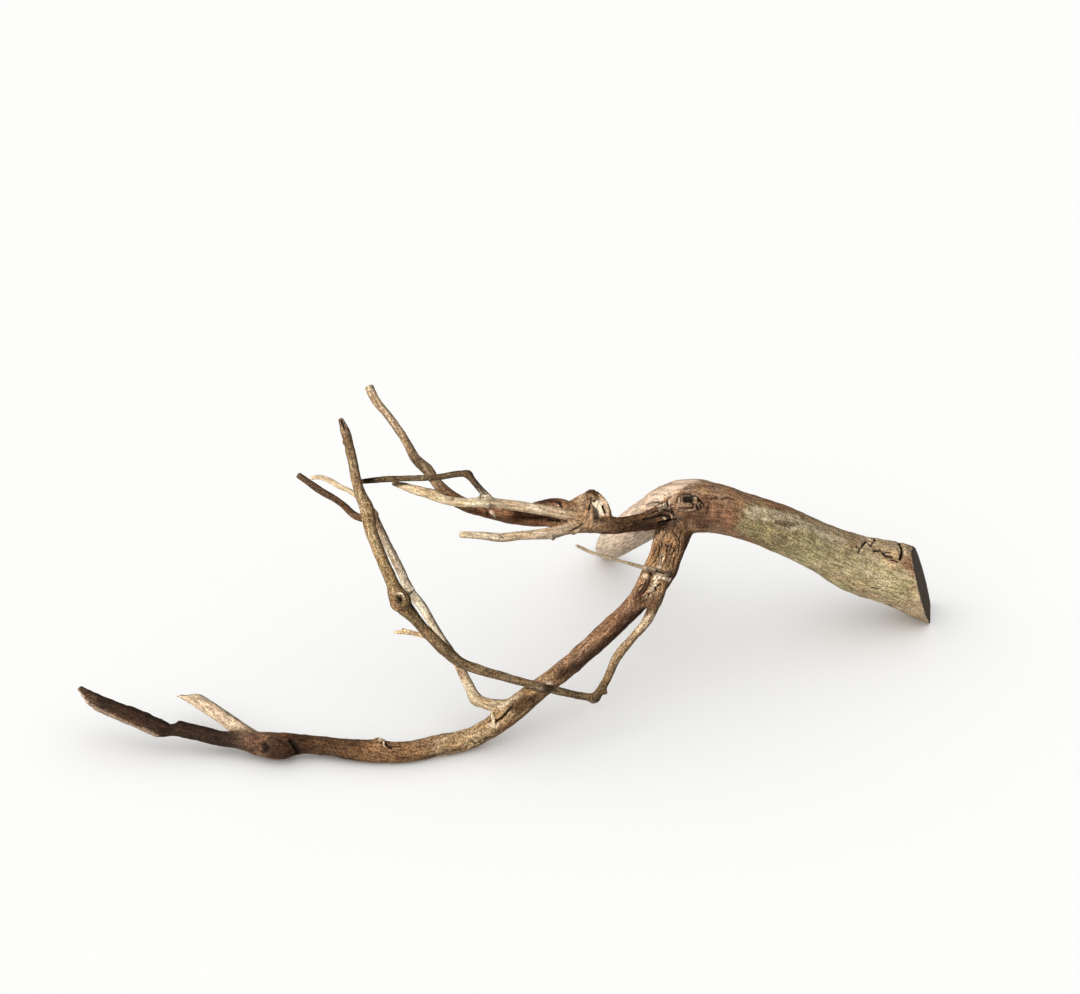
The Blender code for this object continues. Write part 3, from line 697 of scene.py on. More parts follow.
swellings = {
    "eye knot": ((77.0, -8.5, 88.5), (8.4, 7.4, 7.0)),
    "collar": ((73.0, -8.0, 81.5), (10.0, 8.4, 9.0)),
    "trunk knot": ((176.0, 27.5, 34.5), (15.0, 9.0, 9.0)),
    "twig knot": ((-53.0, -72.5, 75.5), (4.4, 4.2, 5.0)),
    "belly bud": ((-64.5, -86.5, 9.6), (2.6, 2.2, 1.6)),
    "corner bud": ((37.0, -67.0, 23.8), (1.7, 1.5, 1.9)),
    "stub knot": ((-111.0, -86.5, 9.0), (5.5, 4.5, 4.2)),
    "fork bud": ((-67.2, -32.0, 95.2), (2.6, 2.6, 2.4)),
}
breaks = [
    ((-195.2, -71.0, 18.0), (-0.80, -0.30, -0.52), 30.0, 0.5),
    ((-183.2, -75.6, 14.1), (-0.40, -0.69, -0.60), 40.0, 0.2),
    ((40.5, 90.2, 5.0), (-0.10, 0.84, -0.53), 30.0, 0.6),
    ((-150.8, -58.2, 15.6), (-0.12, 0.48, 0.87), 26.0, 0.5),
    ((35.2, -25.4, 95.4), (0.30, -0.86, 0.42), 8.0, 0.2),
    ((200.1, 30.0, 0.0), (0.95, -0.13, 0.285), 90.0, 0.0),
]
NOTCH_BOTTOM = (-158.2, -77.5, 10.8)
NOTCH_SIDE = 12.0
NOTCH_OPENING_TURN = math.radians(50.0)
NOTCH_SLANT = math.radians(60.0)


# One skin: the limbs and swellings grow together into one closed body, as the wood did. Its
# ends are then broken or sawn, and it stands on the floor.

# mesh sizes in mm before and after the cuts
FIRST_VOXEL = 0.60
SECOND_VOXEL = 0.56
MOST_TRIANGLES = 194000
# added to every limb's radius in mm before they grow together
SKIN_SPARE = 0.12
TORN_SIZE = 2.6
TORN_SEED = 5


def tube(name, line, thick):
    """A closed round tube along a line, in metres."""
    curve = bpy.data.curves.new(name, "CURVE")
    curve.dimensions = "3D"
    curve.bevel_depth = MM
    curve.bevel_resolution = 6
    curve.use_fill_caps = True
    spline = curve.splines.new("POLY")
    spline.points.add(len(line) - 1)
    spline.points.foreach_set("co", np.column_stack([line * MM, np.ones(len(line))]).ravel())
    spline.points.foreach_set("radius", thick)
    guide = bpy.data.objects.new(name, curve)
    bpy.context.scene.collection.objects.link(guide)
    mesh = bpy.data.meshes.new_from_object(guide.evaluated_get(bpy.context.evaluated_depsgraph_get()))
    bpy.data.objects.remove(guide, do_unlink=True)
    return mesh


def lump(name, centre, half_widths):
    """A closed egg shape; centre and half widths in mm."""
    bpy.ops.mesh.primitive_uv_sphere_add(segments=24, ring_count=14, radius=1.0)
    made = bpy.context.object
    made.name = name
    made.data.transform(Matrix.Diagonal((*(Vector(half_widths) * MM), 1.0)))
    made.data.transform(Matrix.Translation(Vector(centre) * MM))
    return made


def flattened(thing):
    """Replaces an object's mesh by the one its modifiers give."""
    seen_thing = thing.evaluated_get(bpy.context.evaluated_depsgraph_get())
    mesh = bpy.data.meshes.new_from_object(seen_thing)
    thing.modifiers.clear()
    old = thing.data
    thing.data = mesh
    bpy.data.meshes.remove(old)


def grow_together(thing, voxel):
    """Makes everything in one object into one closed skin of that mesh size in mm."""
    skin_step = thing.modifiers.new("one skin", "REMESH")
    skin_step.mode = "VOXEL"
    skin_step.voxel_size = voxel * MM
    flattened(thing)


pieces = []
for name, one in limbs.items():
    piece = bpy.data.objects.new(name, tube(name, one["line"], one["thick"] + SKIN_SPARE))
    bpy.context.scene.collection.objects.link(piece)
    pieces.append(piece)
for name, (centre, half_widths) in swellings.items():
    pieces.append(lump(name, centre, half_widths))
with bpy.context.temp_override(active_object=pieces[0], selected_editable_objects=pieces):
    bpy.ops.object.join()
skin = pieces[0]
skin.name = "talawa_wood_skin"
grow_together(skin, FIRST_VOXEL)


def read_points(mesh):
    """The mesh's points in mm."""
    spots = np.empty(len(mesh.vertices) * 3)
    mesh.vertices.foreach_get("co", spots)
    return spots.reshape(-1, 3) / MM


def write_points(mesh, spots):
    """Moves the mesh's points to places in mm."""
    mesh.vertices.foreach_set("co", (spots * MM).ravel())
    mesh.update()


def waves(spots, size, seed, octaves=3):
    """Smooth noise of about the given size in mm, from -1 to 1."""
    dice = np.random.default_rng(seed)
    total = np.zeros(len(spots))
    gain = 1.0
    for _ in range(octaves):
        for _ in range(5):
            way = dice.normal(size=3)
            way *= 2 * math.pi / (size * np.linalg.norm(way))
            total += gain * np.sin(spots @ way + dice.uniform(0, 2 * math.pi))
        gain *= 0.55
        size *= 0.47
    return total / 4.0


spots = read_points(skin.data)
spots[:, 2] = np.maximum(spots[:, 2], 0.0)
for point, outward, reach, rough in breaks:
    normal = Vector(outward).normalized()
    turn = np.array(normal.to_track_quat("Z", "Y").to_matrix())
    local = (spots - np.array(point)) @ turn
    inside = (np.abs(local[:, 0]) < reach / 2) & (np.abs(local[:, 1]) < reach / 2) & (local[:, 2] < reach)
    over = local[:, 2] + rough * waves(spots, TORN_SIZE, TORN_SEED)
    inside &= over > 0
    if rough:
        spots[inside] -= np.outer(over[inside], np.array(normal))
    else:
        spots[inside, 0] -= over[inside] / normal.x

# the notch
notch_turn = Matrix.Rotation(NOTCH_SLANT, 3, "X") @ Matrix.Rotation(NOTCH_OPENING_TURN, 3, "Z")
turn = np.array(notch_turn)
local = (spots - np.array(NOTCH_BOTTOM)) @ turn
inside = (local[:, 0] > 0) & (local[:, 1] > 0) & (local[:, 0] < NOTCH_SIDE) & (local[:, 1] < NOTCH_SIDE)
inside &= np.abs(local[:, 2]) < NOTCH_SIDE
across = local[:, 0] < local[:, 1]
local[inside & across, 0] = 0.0
local[inside & ~across, 1] = 0.0
spots[inside] = local[inside] @ turn.T + np.array(NOTCH_BOTTOM)
spots[:, 2] = np.maximum(spots[:, 2], 0.0)
write_points(skin.data, spots)
grow_together(skin, SECOND_VOXEL)

# loose crumbs left by the cuts go
shape = bmesh.new()
shape.from_mesh(skin.data)
unseen = set(shape.verts)
islands = []
while unseen:
    waiting = [unseen.pop()]
    island = list(waiting)
    while waiting:
        for link in waiting.pop().link_edges:
            for vertex in link.verts:
                if vertex in unseen:
                    unseen.discard(vertex)
                    island.append(vertex)
                    waiting.append(vertex)
    islands.append(island)
islands.sort(key=len)
for island in islands[:-1]:
    bmesh.ops.delete(shape, geom=island, context="VERTS")
shape.to_mesh(skin.data)
shape.free()


# The marks' places: a pair is where the viewer sees the mark, in pixels of the picture, and
# three numbers are a point in mm. The mesh is finer where small marks crowd.

def seen(x, y):
    """The point of the wood in mm that the camera sees at a pixel, or the one next to it."""
    turn = camera.rotation_euler.to_matrix()
    ray = Vector((
        (x - PICTURE_WIDE / 2) / PICTURE_WIDE * SENSOR / LENS,
        -(y - PICTURE_HIGH / 2) / PICTURE_WIDE * SENSOR / LENS,
        -1.0,
    ))
    ray = (turn @ ray).normalized()
    hit, place, _, _ = skin.ray_cast(Vector(CAMERA_PLACE), ray)
    if hit:
        return np.array(place) / MM
    spots = read_points(skin.data)
    to_spots = spots - np.array(CAMERA_PLACE) / MM
    ahead = to_spots @ np.array(ray)
    aside = np.linalg.norm(to_spots - np.outer(ahead, np.array(ray)), axis=1)
    return spots[aside.argmin()]


def on_wood(place):
    """The point of the wood at a picture position, or next to a point in mm."""
    if len(place) == 2:
        return seen(*place)
    return np.array(skin.closest_point_on_mesh(Vector(place) * MM)[1]) / MM


# picture positions and radii in mm
FINE_SPOTS = [
    (690, 500, 8.0), (664, 512, 7.5), (700, 486, 6.0), (669, 548, 6.5), (655, 581, 8.0), (598, 502, 8.0),
    (882, 551, 11.0), (400, 601, 4.0), (499, 716, 6.0), (175, 728, 5.0), (190, 697, 5.0), (558, 504, 5.0),
    (483, 498, 3.5), (345, 424, 2.5), (411, 591, 2.5), (282, 747, 7.0), (386, 744, 4.0), (596, 697, 3.0),
]
bpy.context.view_layer.update()
fine_centres = [(seen(x, y), radius) for x, y, radius in FINE_SPOTS]


def in_fine_spots(places):
    """True for the places in mm that lie in one of the fine spots."""
    inside = np.zeros(len(places), dtype=bool)
    for centre, radius in fine_centres:
        inside |= np.linalg.norm(places - centre, axis=1) < radius
    return inside


fine = in_fine_spots(read_points(skin.data))
shape = bmesh.new()
shape.from_mesh(skin.data)
close = [edge for edge in shape.edges if fine[edge.verts[0].index] and fine[edge.verts[1].index]]
bmesh.ops.subdivide_edges(shape, edges=close, cuts=1, use_grid_fill=True)
shape.to_mesh(skin.data)
shape.free()


# The bark's lie: every point of the skin learns which limb it is on, where along and around
# it, and that limb's colour and relief. At a fork the limbs' values run into each other.

SAMPLE_STEP = 1.2
LEAST_STOPS = 8
LIMB_SHIFT = 61.0
BLEND_WIDTH = 1.6
LEAST_WEIGHT = 0.01
CHUNK = 6000

samples = []
for index, one in enumerate(limbs.values()):
    line = one["line"]
    step = np.linalg.norm(np.diff(line, axis=0), axis=1)
    along = np.concatenate([[0.0], np.cumsum(step)])
    stops = np.linspace(0.0, along[-1], max(LEAST_STOPS, int(along[-1] / SAMPLE_STEP)))
    centre = np.column_stack([np.interp(stops, along, line[:, k]) for k in range(3)])
    thick = np.interp(stops, along, one["thick"])
    tangent = np.gradient(centre, axis=0)
    tangent /= np.linalg.norm(tangent, axis=1, keepdims=True)
    side = np.cross(tangent[0], (0.0, 0.0, 1.0))
    side /= np.linalg.norm(side)
    sides = []
    for t in tangent:
        side = side - t * np.dot(side, t)
        side /= np.linalg.norm(side)
        sides.append(side)
    sides = np.array(sides)
    shares = [t[0] for t in one["tones"]]
    colours = np.array([linear(t[1])[:3] for t in one["tones"]])
    tone = np.column_stack([np.interp(stops / along[-1], shares, colours[:, k]) for k in range(3)])
    bare_here = np.interp(stops / along[-1], [b[0] for b in one["bare"]], [b[1] for b in one["bare"]])
    steady = np.full((len(stops), 3), (one["ridges"], one["lumps"], one["speckle"]))
    extra = np.column_stack([steady, bare_here])
    samples.append((centre, thick, tangent, sides, np.cross(tangent, sides), stops + index * LIMB_SHIFT,
                   tone, extra))

centres = np.vstack([s[0] for s in samples])
thicks = np.concatenate([s[1] for s in samples])
tangents = np.vstack([s[2] for s in samples])
sides_1 = np.vstack([s[3] for s in samples])
sides_2 = np.vstack([s[4] for s in samples])
alongs = np.concatenate([s[5] for s in samples])
tone_samples = np.vstack([s[6] for s in samples])
extra_samples = np.vstack([s[7] for s in samples])
starts = np.cumsum([0] + [len(s[0]) for s in samples])[:-1]


def place_on_limbs(spots):
    """For each spot: straightened limb coordinates in mm, tone, and (ridges, lumps, speckle, bare)."""
    grain = np.empty((len(spots), 3))
    tone = np.empty((len(spots), 3))
    extra = np.empty((len(spots), 4))
    for first in range(0, len(spots), CHUNK):
        part = spots[first:first + CHUNK]
        square = (part ** 2).sum(1)[:, None] + (centres ** 2).sum(1)[None] - 2 * part @ centres.T
        away = np.sqrt(np.maximum(square, 0.0)) - thicks[None]
        best = away.argmin(1)
        nearest = np.minimum.reduceat(away, starts, axis=1)
        weight = np.exp(-(nearest - nearest.min(1, keepdims=True)) / BLEND_WIDTH)
        weight /= weight.sum(1, keepdims=True)
        tones_here = np.zeros((len(part), 3))
        extra_here = np.zeros((len(part), 4))
        for k in range(len(starts)):
            end = starts[k + 1] if k + 1 < len(starts) else len(centres)
            mine = weight[:, k] > LEAST_WEIGHT
            if not mine.any():
                continue
            pick = starts[k] + away[mine][:, starts[k]:end].argmin(1)
            tones_here[mine] += weight[mine, k, None] * tone_samples[pick]
            extra_here[mine] += weight[mine, k, None] * extra_samples[pick]
        off = part - centres[best]
        grain[first:first + CHUNK] = np.column_stack([
            alongs[best] + (off * tangents[best]).sum(1),
            (off * sides_1[best]).sum(1),
            (off * sides_2[best]).sum(1),
        ])
        tone[first:first + CHUNK] = tones_here
        extra[first:first + CHUNK] = extra_here
    return grain, tone, extra


spots = read_points(skin.data)
grain, tone, extra = place_on_limbs(spots)


def store(mesh, name, values, kind):
    """Keeps one value, vector or colour for each point of the mesh."""
    layer = mesh.attributes.new(name, kind, "POINT")
    if kind == "FLOAT_COLOR":
        layer.data.foreach_set("color", np.column_stack([values, np.ones(len(values))]).ravel())
    elif kind == "FLOAT_VECTOR":
        layer.data.foreach_set("vector", values.ravel())
    else:
        layer.data.foreach_set("value", values)


def away_from(places):
    """Each spot's distance in mm from a line through the places."""
    places = [np.array(p) for p in places]
    if len(places) == 1:
        return np.linalg.norm(spots - places[0], axis=1)
    least = np.full(len(spots), 1e9)
    for a, b in zip(places[:-1], places[1:]):
        span = b - a
        share = np.clip((spots - a) @ span / max(span @ span, 1e-9), 0.0, 1.0)
        least = np.minimum(least, np.linalg.norm(spots - a - share[:, None] * span, axis=1))
    return least


def soft_edge(distance, radius, blur):
    """1 inside the radius, 0 outside, with a smooth edge of that blur."""
    t = np.clip((radius - distance) / blur + 0.5, 0.0, 1.0)
    return t * t * (3 - 2 * t)


WOBBLE_SIZE = 5.0
WOBBLE_SEED = 21
CUT_DEPTH = 0.5
CUT_BLUR = 0.6
# shares that torn wood is bare, and that bare and sawn wood lose of the bark's grit and specks
TORN_BARE = 0.6
BARE_LOSES_GRIT = 0.7
SAWN_LOSES_GRIT = 0.8
BARE_LOSES_SPECKS = 0.55

bpy.context.view_layer.update()
# one mask holds painted shade, with dark bark in a few places; the dark one holds painted shade in cracks
# and hollows
finish_names = ("lichen", "bare", "dark", "warm", "pale", "shade_and_dark_bark", "rough")
masks = {name: np.zeros(len(spots)) for name in finish_names}
masks["bare"] += extra[:, 3]
push = np.zeros(len(spots))

for mask, places, radius, blur, strength, wobble in marks:
    distance = away_from([on_wood(p) for p in places])
    if wobble:
        distance = distance + wobble * waves(spots, WOBBLE_SIZE, WOBBLE_SEED)
    amount = strength * soft_edge(distance, radius, blur)
    if mask == "push":
        push += amount
    elif strength < 0:
        masks[mask] = np.minimum(masks[mask], 1.0 - soft_edge(distance, radius, blur))
    else:
        masks[mask] = np.maximum(masks[mask], amount)

# torn and sawn faces show bare wood and have no bark relief
flat_cut = np.zeros(len(spots))
sawn = np.zeros(len(spots))
for point, outward, reach, rough in breaks:
    turn = np.array(Vector(outward).normalized().to_track_quat("Z", "Y").to_matrix())
    local = (spots - np.array(point)) @ turn
    level = np.abs(local[:, 2] + rough * waves(spots, TORN_SIZE, TORN_SEED))
    near = (np.abs(local[:, 0]) < reach / 2) & (np.abs(local[:, 1]) < reach / 2)
    on_face = near * soft_edge(level, CUT_DEPTH, CUT_BLUR)
    flat_cut = np.maximum(flat_cut, on_face)
    if rough == 0.0:
        sawn = on_face
masks["bare"] = np.maximum(masks["bare"], flat_cut * TORN_BARE)
masks["sawn"] = sawn
calm = 1.0 - flat_cut

store(skin.data, "grain", grain * MM, "FLOAT_VECTOR")
store(skin.data, "tone", tone, "FLOAT_COLOR")
store(skin.data, "ridged", extra[:, 0] * calm * (1.0 + masks["rough"]) * MM, "FLOAT")
store(skin.data, "lumpy", extra[:, 1] * calm * MM, "FLOAT")
gritty = (1.0 - BARE_LOSES_GRIT * masks["bare"]) * (1.0 - SAWN_LOSES_GRIT * sawn) + masks["rough"]
store(skin.data, "gritty", gritty, "FLOAT")
speckled = extra[:, 2] * (1.0 - BARE_LOSES_SPECKS * np.clip(masks["bare"], 0.0, 1.0))
store(skin.data, "speckled", speckled, "FLOAT")
store(skin.data, "push", push * MM, "FLOAT")
for name, values in masks.items():
    store(skin.data, name, np.clip(values, 0.0, 1.0), "FLOAT")


# Dry bark, weathered outdoors: to the eye it is matt, sandy and speckled, redder in some
# patches and greyer in others, with painted shade in its low places. Where it has come off,
# the wood is paler and smoother. Its sand is drawn at 0.62 mm, as coarse as it needs to be to show.

LAY_OVER = {"data_type": "RGBA"}
COLOUR_TIMES = {"data_type": "RGBA", "blend_type": "MULTIPLY"}
SOFT_STEP = {"interpolation_type": "SMOOTHSTEP"}
TIMES = {"operation": "MULTIPLY"}
GRAIN_SIZE = 1.1 * MM
BLOTCH_SIZE = 8.0 * MM
SAND_SIZE = 0.62 * MM
FIBRE_WIDTH = 1.0 * MM
SPLIT_WIDTH = 3.0 * MM

bark = bpy.data.materials.new("dry_bark")
bark.use_nodes = True
tree = bark.node_tree
shader = tree.nodes["Principled BSDF"]
shader.inputs["Roughness"].default_value = 0.85
shader.inputs["Specular IOR Level"].default_value = 0.2
place = add(tree, "ShaderNodeTexCoord").outputs["Object"]
on_limb = add(tree, "ShaderNodeAttribute", {"attribute_name": "grain"}).outputs["Vector"]
tone_in = add(tree, "ShaderNodeAttribute", {"attribute_name": "tone"}).outputs["Color"]
relief_in = add(tree, "ShaderNodeAttribute", {"attribute_name": "relief"}).outputs["Fac"]
part = {
    name: add(tree, "ShaderNodeAttribute", {"attribute_name": name}).outputs["Fac"]
    for name in ("lichen", "bare", "dark", "warm", "pale", "shade_and_dark_bark")
}

grains = add(tree, "ShaderNodeTexNoise", Vector=place, Scale=1 / GRAIN_SIZE, Detail=4.0, Roughness=0.72,
             Distortion=0.25).outputs[0]
blotches = add(tree, "ShaderNodeTexNoise", Vector=place, Scale=1 / BLOTCH_SIZE, Detail=3.0,
               Roughness=0.6).outputs[0]
sand = add(tree, "ShaderNodeTexNoise", Vector=place, Scale=1 / SAND_SIZE, Detail=2.0,
           Roughness=0.8).outputs[0]
sandy = add(tree, "ShaderNodeMath", {"operation": "MULTIPLY_ADD"}, i0=grains, i1=0.8, i2=sand).outputs[0]
along = add(tree, "ShaderNodeMapping", Vector=on_limb, Scale=(0.15, 1.0, 1.0)).outputs[0]
fibres = add(tree, "ShaderNodeTexNoise", Vector=along, Scale=1 / FIBRE_WIDTH, Detail=3.0,
             Roughness=0.6).outputs[0]
along_short = add(tree, "ShaderNodeMapping", Vector=on_limb, Scale=(0.30, 1.0, 1.0)).outputs[0]
splits = add(tree, "ShaderNodeTexNoise", Vector=along_short, Scale=1 / SPLIT_WIDTH, Detail=2.5,
             Roughness=0.6, Distortion=0.7).outputs[0]

# patches of redder and of greyer bark
reddish = add(tree, "ShaderNodeMix", COLOUR_TIMES, i0=1.0, i6=tone_in,
              i7=(0.97, 0.89, 0.77, 1.0)).outputs[2]
greyish = add(tree, "ShaderNodeMix", COLOUR_TIMES, i0=1.0, i6=tone_in,
              i7=(1.08, 1.11, 1.10, 1.0)).outputs[2]
patch = add(tree, "ShaderNodeMapRange", SOFT_STEP, Value=blotches,
            From_Min=0.40, From_Max=0.60).outputs[0]
patched = add(tree, "ShaderNodeMix", LAY_OVER, i0=patch, i6=reddish, i7=greyish).outputs[2]

# finishes laid over it
warm_share = add(tree, "ShaderNodeMath", TIMES, i0=part["warm"], i1=0.75).outputs[0]
warmed = add(tree, "ShaderNodeMix", LAY_OVER, i0=warm_share, i6=patched, i7=linear("8e6449")).outputs[2]
algae = add(tree, "ShaderNodeMix", LAY_OVER, i0=patch, i6=linear("8b8d62"),
            i7=linear("a8a070")).outputs[2]
algae_grip = add(tree, "ShaderNodeMapRange", SOFT_STEP, Value=grains,
                 From_Min=0.40, From_Max=0.60, To_Min=0.35, To_Max=0.95).outputs[0]
algae_share = add(tree, "ShaderNodeMath", TIMES, i0=part["lichen"], i1=algae_grip).outputs[0]
greened = add(tree, "ShaderNodeMix", LAY_OVER, i0=algae_share, i6=warmed, i7=algae).outputs[2]
bared = add(tree, "ShaderNodeMix", LAY_OVER, i0=part["bare"], i6=greened, i7=linear("cab198")).outputs[2]
paled = add(tree, "ShaderNodeMix", LAY_OVER, i0=part["pale"], i6=bared, i7=linear("e6d4b6")).outputs[2]

# dark and light specks, weaker on bare wood; they share the bump's grit noise, so they are partly painted
# shade in the pits and painted highlight on the grains
pale_speck_and_grit_highlight = add(tree, "ShaderNodeMix", COLOUR_TIMES, i0=1.0, i6=paled,
                i7=(1.66, 1.67, 1.70, 1.0)).outputs[2]
dark_speck_and_pit_shade = add(tree, "ShaderNodeMix", COLOUR_TIMES, i0=1.0, i6=paled,
                 i7=(0.31, 0.25, 0.21, 1.0)).outputs[2]
speck = add(tree, "ShaderNodeMapRange", SOFT_STEP, Value=sandy,
            From_Min=0.76, From_Max=1.06).outputs[0]
specked = add(tree, "ShaderNodeMix", LAY_OVER, i0=speck, i6=dark_speck_and_pit_shade, i7=pale_speck_and_grit_highlight).outputs[2]
speckled_in = add(tree, "ShaderNodeAttribute", {"attribute_name": "speckled"}).outputs["Fac"]
calmed = add(tree, "ShaderNodeMix", LAY_OVER, i0=speckled_in, i6=paled, i7=specked).outputs[2]

# streaks and splits, painted shade in the low places, then the mask of painted shade and dark bark
streak = add(tree, "ShaderNodeMapRange", SOFT_STEP, Value=fibres,
             From_Min=0.34, From_Max=0.64, To_Min=0.60, To_Max=1.26).outputs[0]
split_line = add(tree, "ShaderNodeMath", {"operation": "SUBTRACT"}, i0=splits, i1=0.5).outputs[0]
split_line = add(tree, "ShaderNodeMath", {"operation": "ABSOLUTE"}, i0=split_line).outputs[0]
split_dark = add(tree, "ShaderNodeMapRange", SOFT_STEP, Value=split_line,
                 From_Min=0.0, From_Max=0.035, To_Min=0.45, To_Max=1.0).outputs[0]
# painted shade in the low places of the relief, and a little painted light on its tops
low_place_shade = add(tree, "ShaderNodeMapRange", SOFT_STEP, Value=relief_in,
               From_Min=-0.35 * MM, From_Max=0.08 * MM, To_Min=0.38, To_Max=1.08).outputs[0]
ridged_in = add(tree, "ShaderNodeAttribute", {"attribute_name": "ridged"}).outputs["Fac"]
split_share = add(tree, "ShaderNodeMapRange", Value=ridged_in, From_Min=0.30 * MM,
                  From_Max=0.70 * MM).outputs[0]
split_dark = add(tree, "ShaderNodeMix", {"data_type": "FLOAT"}, i0=split_share, i2=1.0,
                 i3=split_dark).outputs[0]
light = add(tree, "ShaderNodeMath", TIMES, i0=streak, i1=split_dark).outputs[0]
light = add(tree, "ShaderNodeMath", TIMES, i0=light, i1=low_place_shade).outputs[0]
shaded = add(tree, "ShaderNodeVectorMath", {"operation": "SCALE"}, i0=calmed, Scale=light).outputs[0]
# painted shade, and in a few places dark bark, multiplied in where that mask lies
darkened_by_shade_and_bark = add(tree, "ShaderNodeMix", COLOUR_TIMES, i0=part["shade_and_dark_bark"], i6=shaded,
              i7=(0.17, 0.115, 0.075, 1.0)).outputs[2]
# near-black painted shade in cracks, hollows and holes
finished = add(tree, "ShaderNodeMix", LAY_OVER, i0=part["dark"], i6=darkened_by_shade_and_bark,
               i7=linear("150c07")).outputs[2]
tree.links.new(finished, shader.inputs["Base Color"])

grain_height = add(tree, "ShaderNodeMath", {"operation": "MULTIPLY_ADD"}, i0=fibres, i1=0.6,
                   i2=grains).outputs[0]
bump = add(tree, "ShaderNodeBump", Height=grain_height, Strength=0.9, Distance=0.4 * MM)
tree.links.new(bump.outputs[0], shader.inputs["Normal"])


# The sawn end: end grain that a saw cut across. To the eye it is matt, brown with dirt, in
# rings round the pith with fine scratches over them. The rings are drawn 1.5 mm apart, as
# coarse as they need to be to show.

RING_STEP = 1.5 * MM
# the step of the ring pattern at a scale of 1
WAVE_PERIOD = 0.314
PITH = (194.8 * MM, 33.0 * MM, 17.5 * MM)
PORE_SIZE = 0.6 * MM
SCRATCH_WIDTH = 0.7 * MM
SAW_LEAN = math.atan2(0.285, 0.95)

end_grain = bpy.data.materials.new("sawn_end_grain")
end_grain.use_nodes = True
tree = end_grain.node_tree
shader = tree.nodes["Principled BSDF"]
shader.inputs["Roughness"].default_value = 0.8
shader.inputs["Specular IOR Level"].default_value = 0.2
place = add(tree, "ShaderNodeTexCoord").outputs["Object"]
from_pith = add(tree, "ShaderNodeVectorMath", {"operation": "SUBTRACT"}, i0=place, i1=PITH).outputs[0]
upright = add(tree, "ShaderNodeMapping", Vector=from_pith, Rotation=(0.0, SAW_LEAN, 0.0)).outputs[0]
rings = add(tree, "ShaderNodeTexWave", {"wave_type": "RINGS", "rings_direction": "X"}, Vector=upright,
            Scale=WAVE_PERIOD / RING_STEP, Distortion=4.5, Detail=3.0, Detail_Scale=0.35).outputs[1]
pores = add(tree, "ShaderNodeTexNoise", Vector=place, Scale=1 / PORE_SIZE, Detail=2.0,
            Roughness=0.7).outputs[0]
scratches = add(tree, "ShaderNodeMapping", Vector=upright, Scale=(1.0, 0.08, 1.0)).outputs[0]
scratches = add(tree, "ShaderNodeTexNoise", Vector=scratches, Scale=1 / SCRATCH_WIDTH,
                Detail=2.0).outputs[0]
ring_colour = add(tree, "ShaderNodeMix", LAY_OVER, i0=rings, i6=linear("5a4a3a"),
                  i7=linear("76654f")).outputs[2]
dirt = add(tree, "ShaderNodeMapRange", SOFT_STEP, Value=pores, From_Min=0.35,
           From_Max=0.65, To_Min=0.6, To_Max=1.2).outputs[0]
worn = add(tree, "ShaderNodeVectorMath", {"operation": "SCALE"}, i0=ring_colour, Scale=dirt).outputs[0]
# painted shade in the cracks of the sawn face
crack_in = add(tree, "ShaderNodeAttribute", {"attribute_name": "dark"}).outputs["Fac"]
worn = add(tree, "ShaderNodeMix", LAY_OVER, i0=crack_in, i6=worn, i7=linear("1a1009")).outputs[2]
tree.links.new(worn, shader.inputs["Base Color"])
bump = add(tree, "ShaderNodeBump", Height=scratches, Strength=0.6, Distance=0.3 * MM)
tree.links.new(bump.outputs[0], shader.inputs["Normal"])


# Bark relief: long low ridges that follow each limb, fissured where the bark is thick and
# fibrous where it is thin, soft lumps, grit, and the marks' depth. It moves the skin itself.

relief = bpy.data.node_groups.new("bark relief", "GeometryNodeTree")
relief.interface.new_socket("Geometry", in_out="INPUT", socket_type="NodeSocketGeometry")
for label in ("Ridge length", "Ridge width", "Lump size", "Grit size", "Grit height"):
    relief.interface.new_socket(label, in_out="INPUT", socket_type="NodeSocketFloat")
relief.interface.new_socket("Geometry", in_out="OUTPUT", socket_type="NodeSocketGeometry")
enter = add(relief, "NodeGroupInput").outputs
place = add(relief, "GeometryNodeInputPosition").outputs[0]
normal = add(relief, "GeometryNodeInputNormal").outputs[0]
told = {
    "grain": "FLOAT_VECTOR", "ridged": "FLOAT", "lumpy": "FLOAT", "gritty": "FLOAT", "push": "FLOAT",
    "sawn": "FLOAT",
}
for label, kind in told.items():
    told[label] = add(relief, "GeometryNodeInputNamedAttribute", {"data_type": kind},
                      Name=label).outputs[0]
ridge_size = add(relief, "ShaderNodeCombineXYZ", X=enter["Ridge length"], Y=enter["Ridge width"],
                 Z=enter["Ridge width"]).outputs[0]
ridge_place = add(relief, "ShaderNodeVectorMath", {"operation": "DIVIDE"}, i0=told["grain"],
                  i1=ridge_size).outputs[0]
ridge_noise = add(relief, "ShaderNodeTexNoise", Vector=ridge_place, Scale=1.0, Detail=2.0, Roughness=0.5,
                  Distortion=0.35).outputs[0]
folded = add(relief, "ShaderNodeMath", {"operation": "SUBTRACT"}, i0=ridge_noise, i1=0.5).outputs[0]
folded = add(relief, "ShaderNodeMath", {"operation": "ABSOLUTE"}, i0=folded).outputs[0]
fissured = add(relief, "ShaderNodeMapRange", Value=folded, From_Max=0.156, To_Min=-0.75,
               To_Max=0.25).outputs[0]
fibred = add(relief, "ShaderNodeMapRange", Value=ridge_noise, From_Min=0.30, From_Max=0.70, To_Min=-0.6,
             To_Max=0.4).outputs[0]
fissure_share = add(relief, "ShaderNodeMapRange", Value=told["ridged"], From_Min=0.25 * MM,
                    From_Max=0.60 * MM).outputs[0]
ridge_up = add(relief, "ShaderNodeMix", {"data_type": "FLOAT"}, i0=fissure_share, i2=fibred,
               i3=fissured).outputs[0]
ridge_up = add(relief, "ShaderNodeMath", TIMES, i0=ridge_up, i1=told["ridged"]).outputs[0]
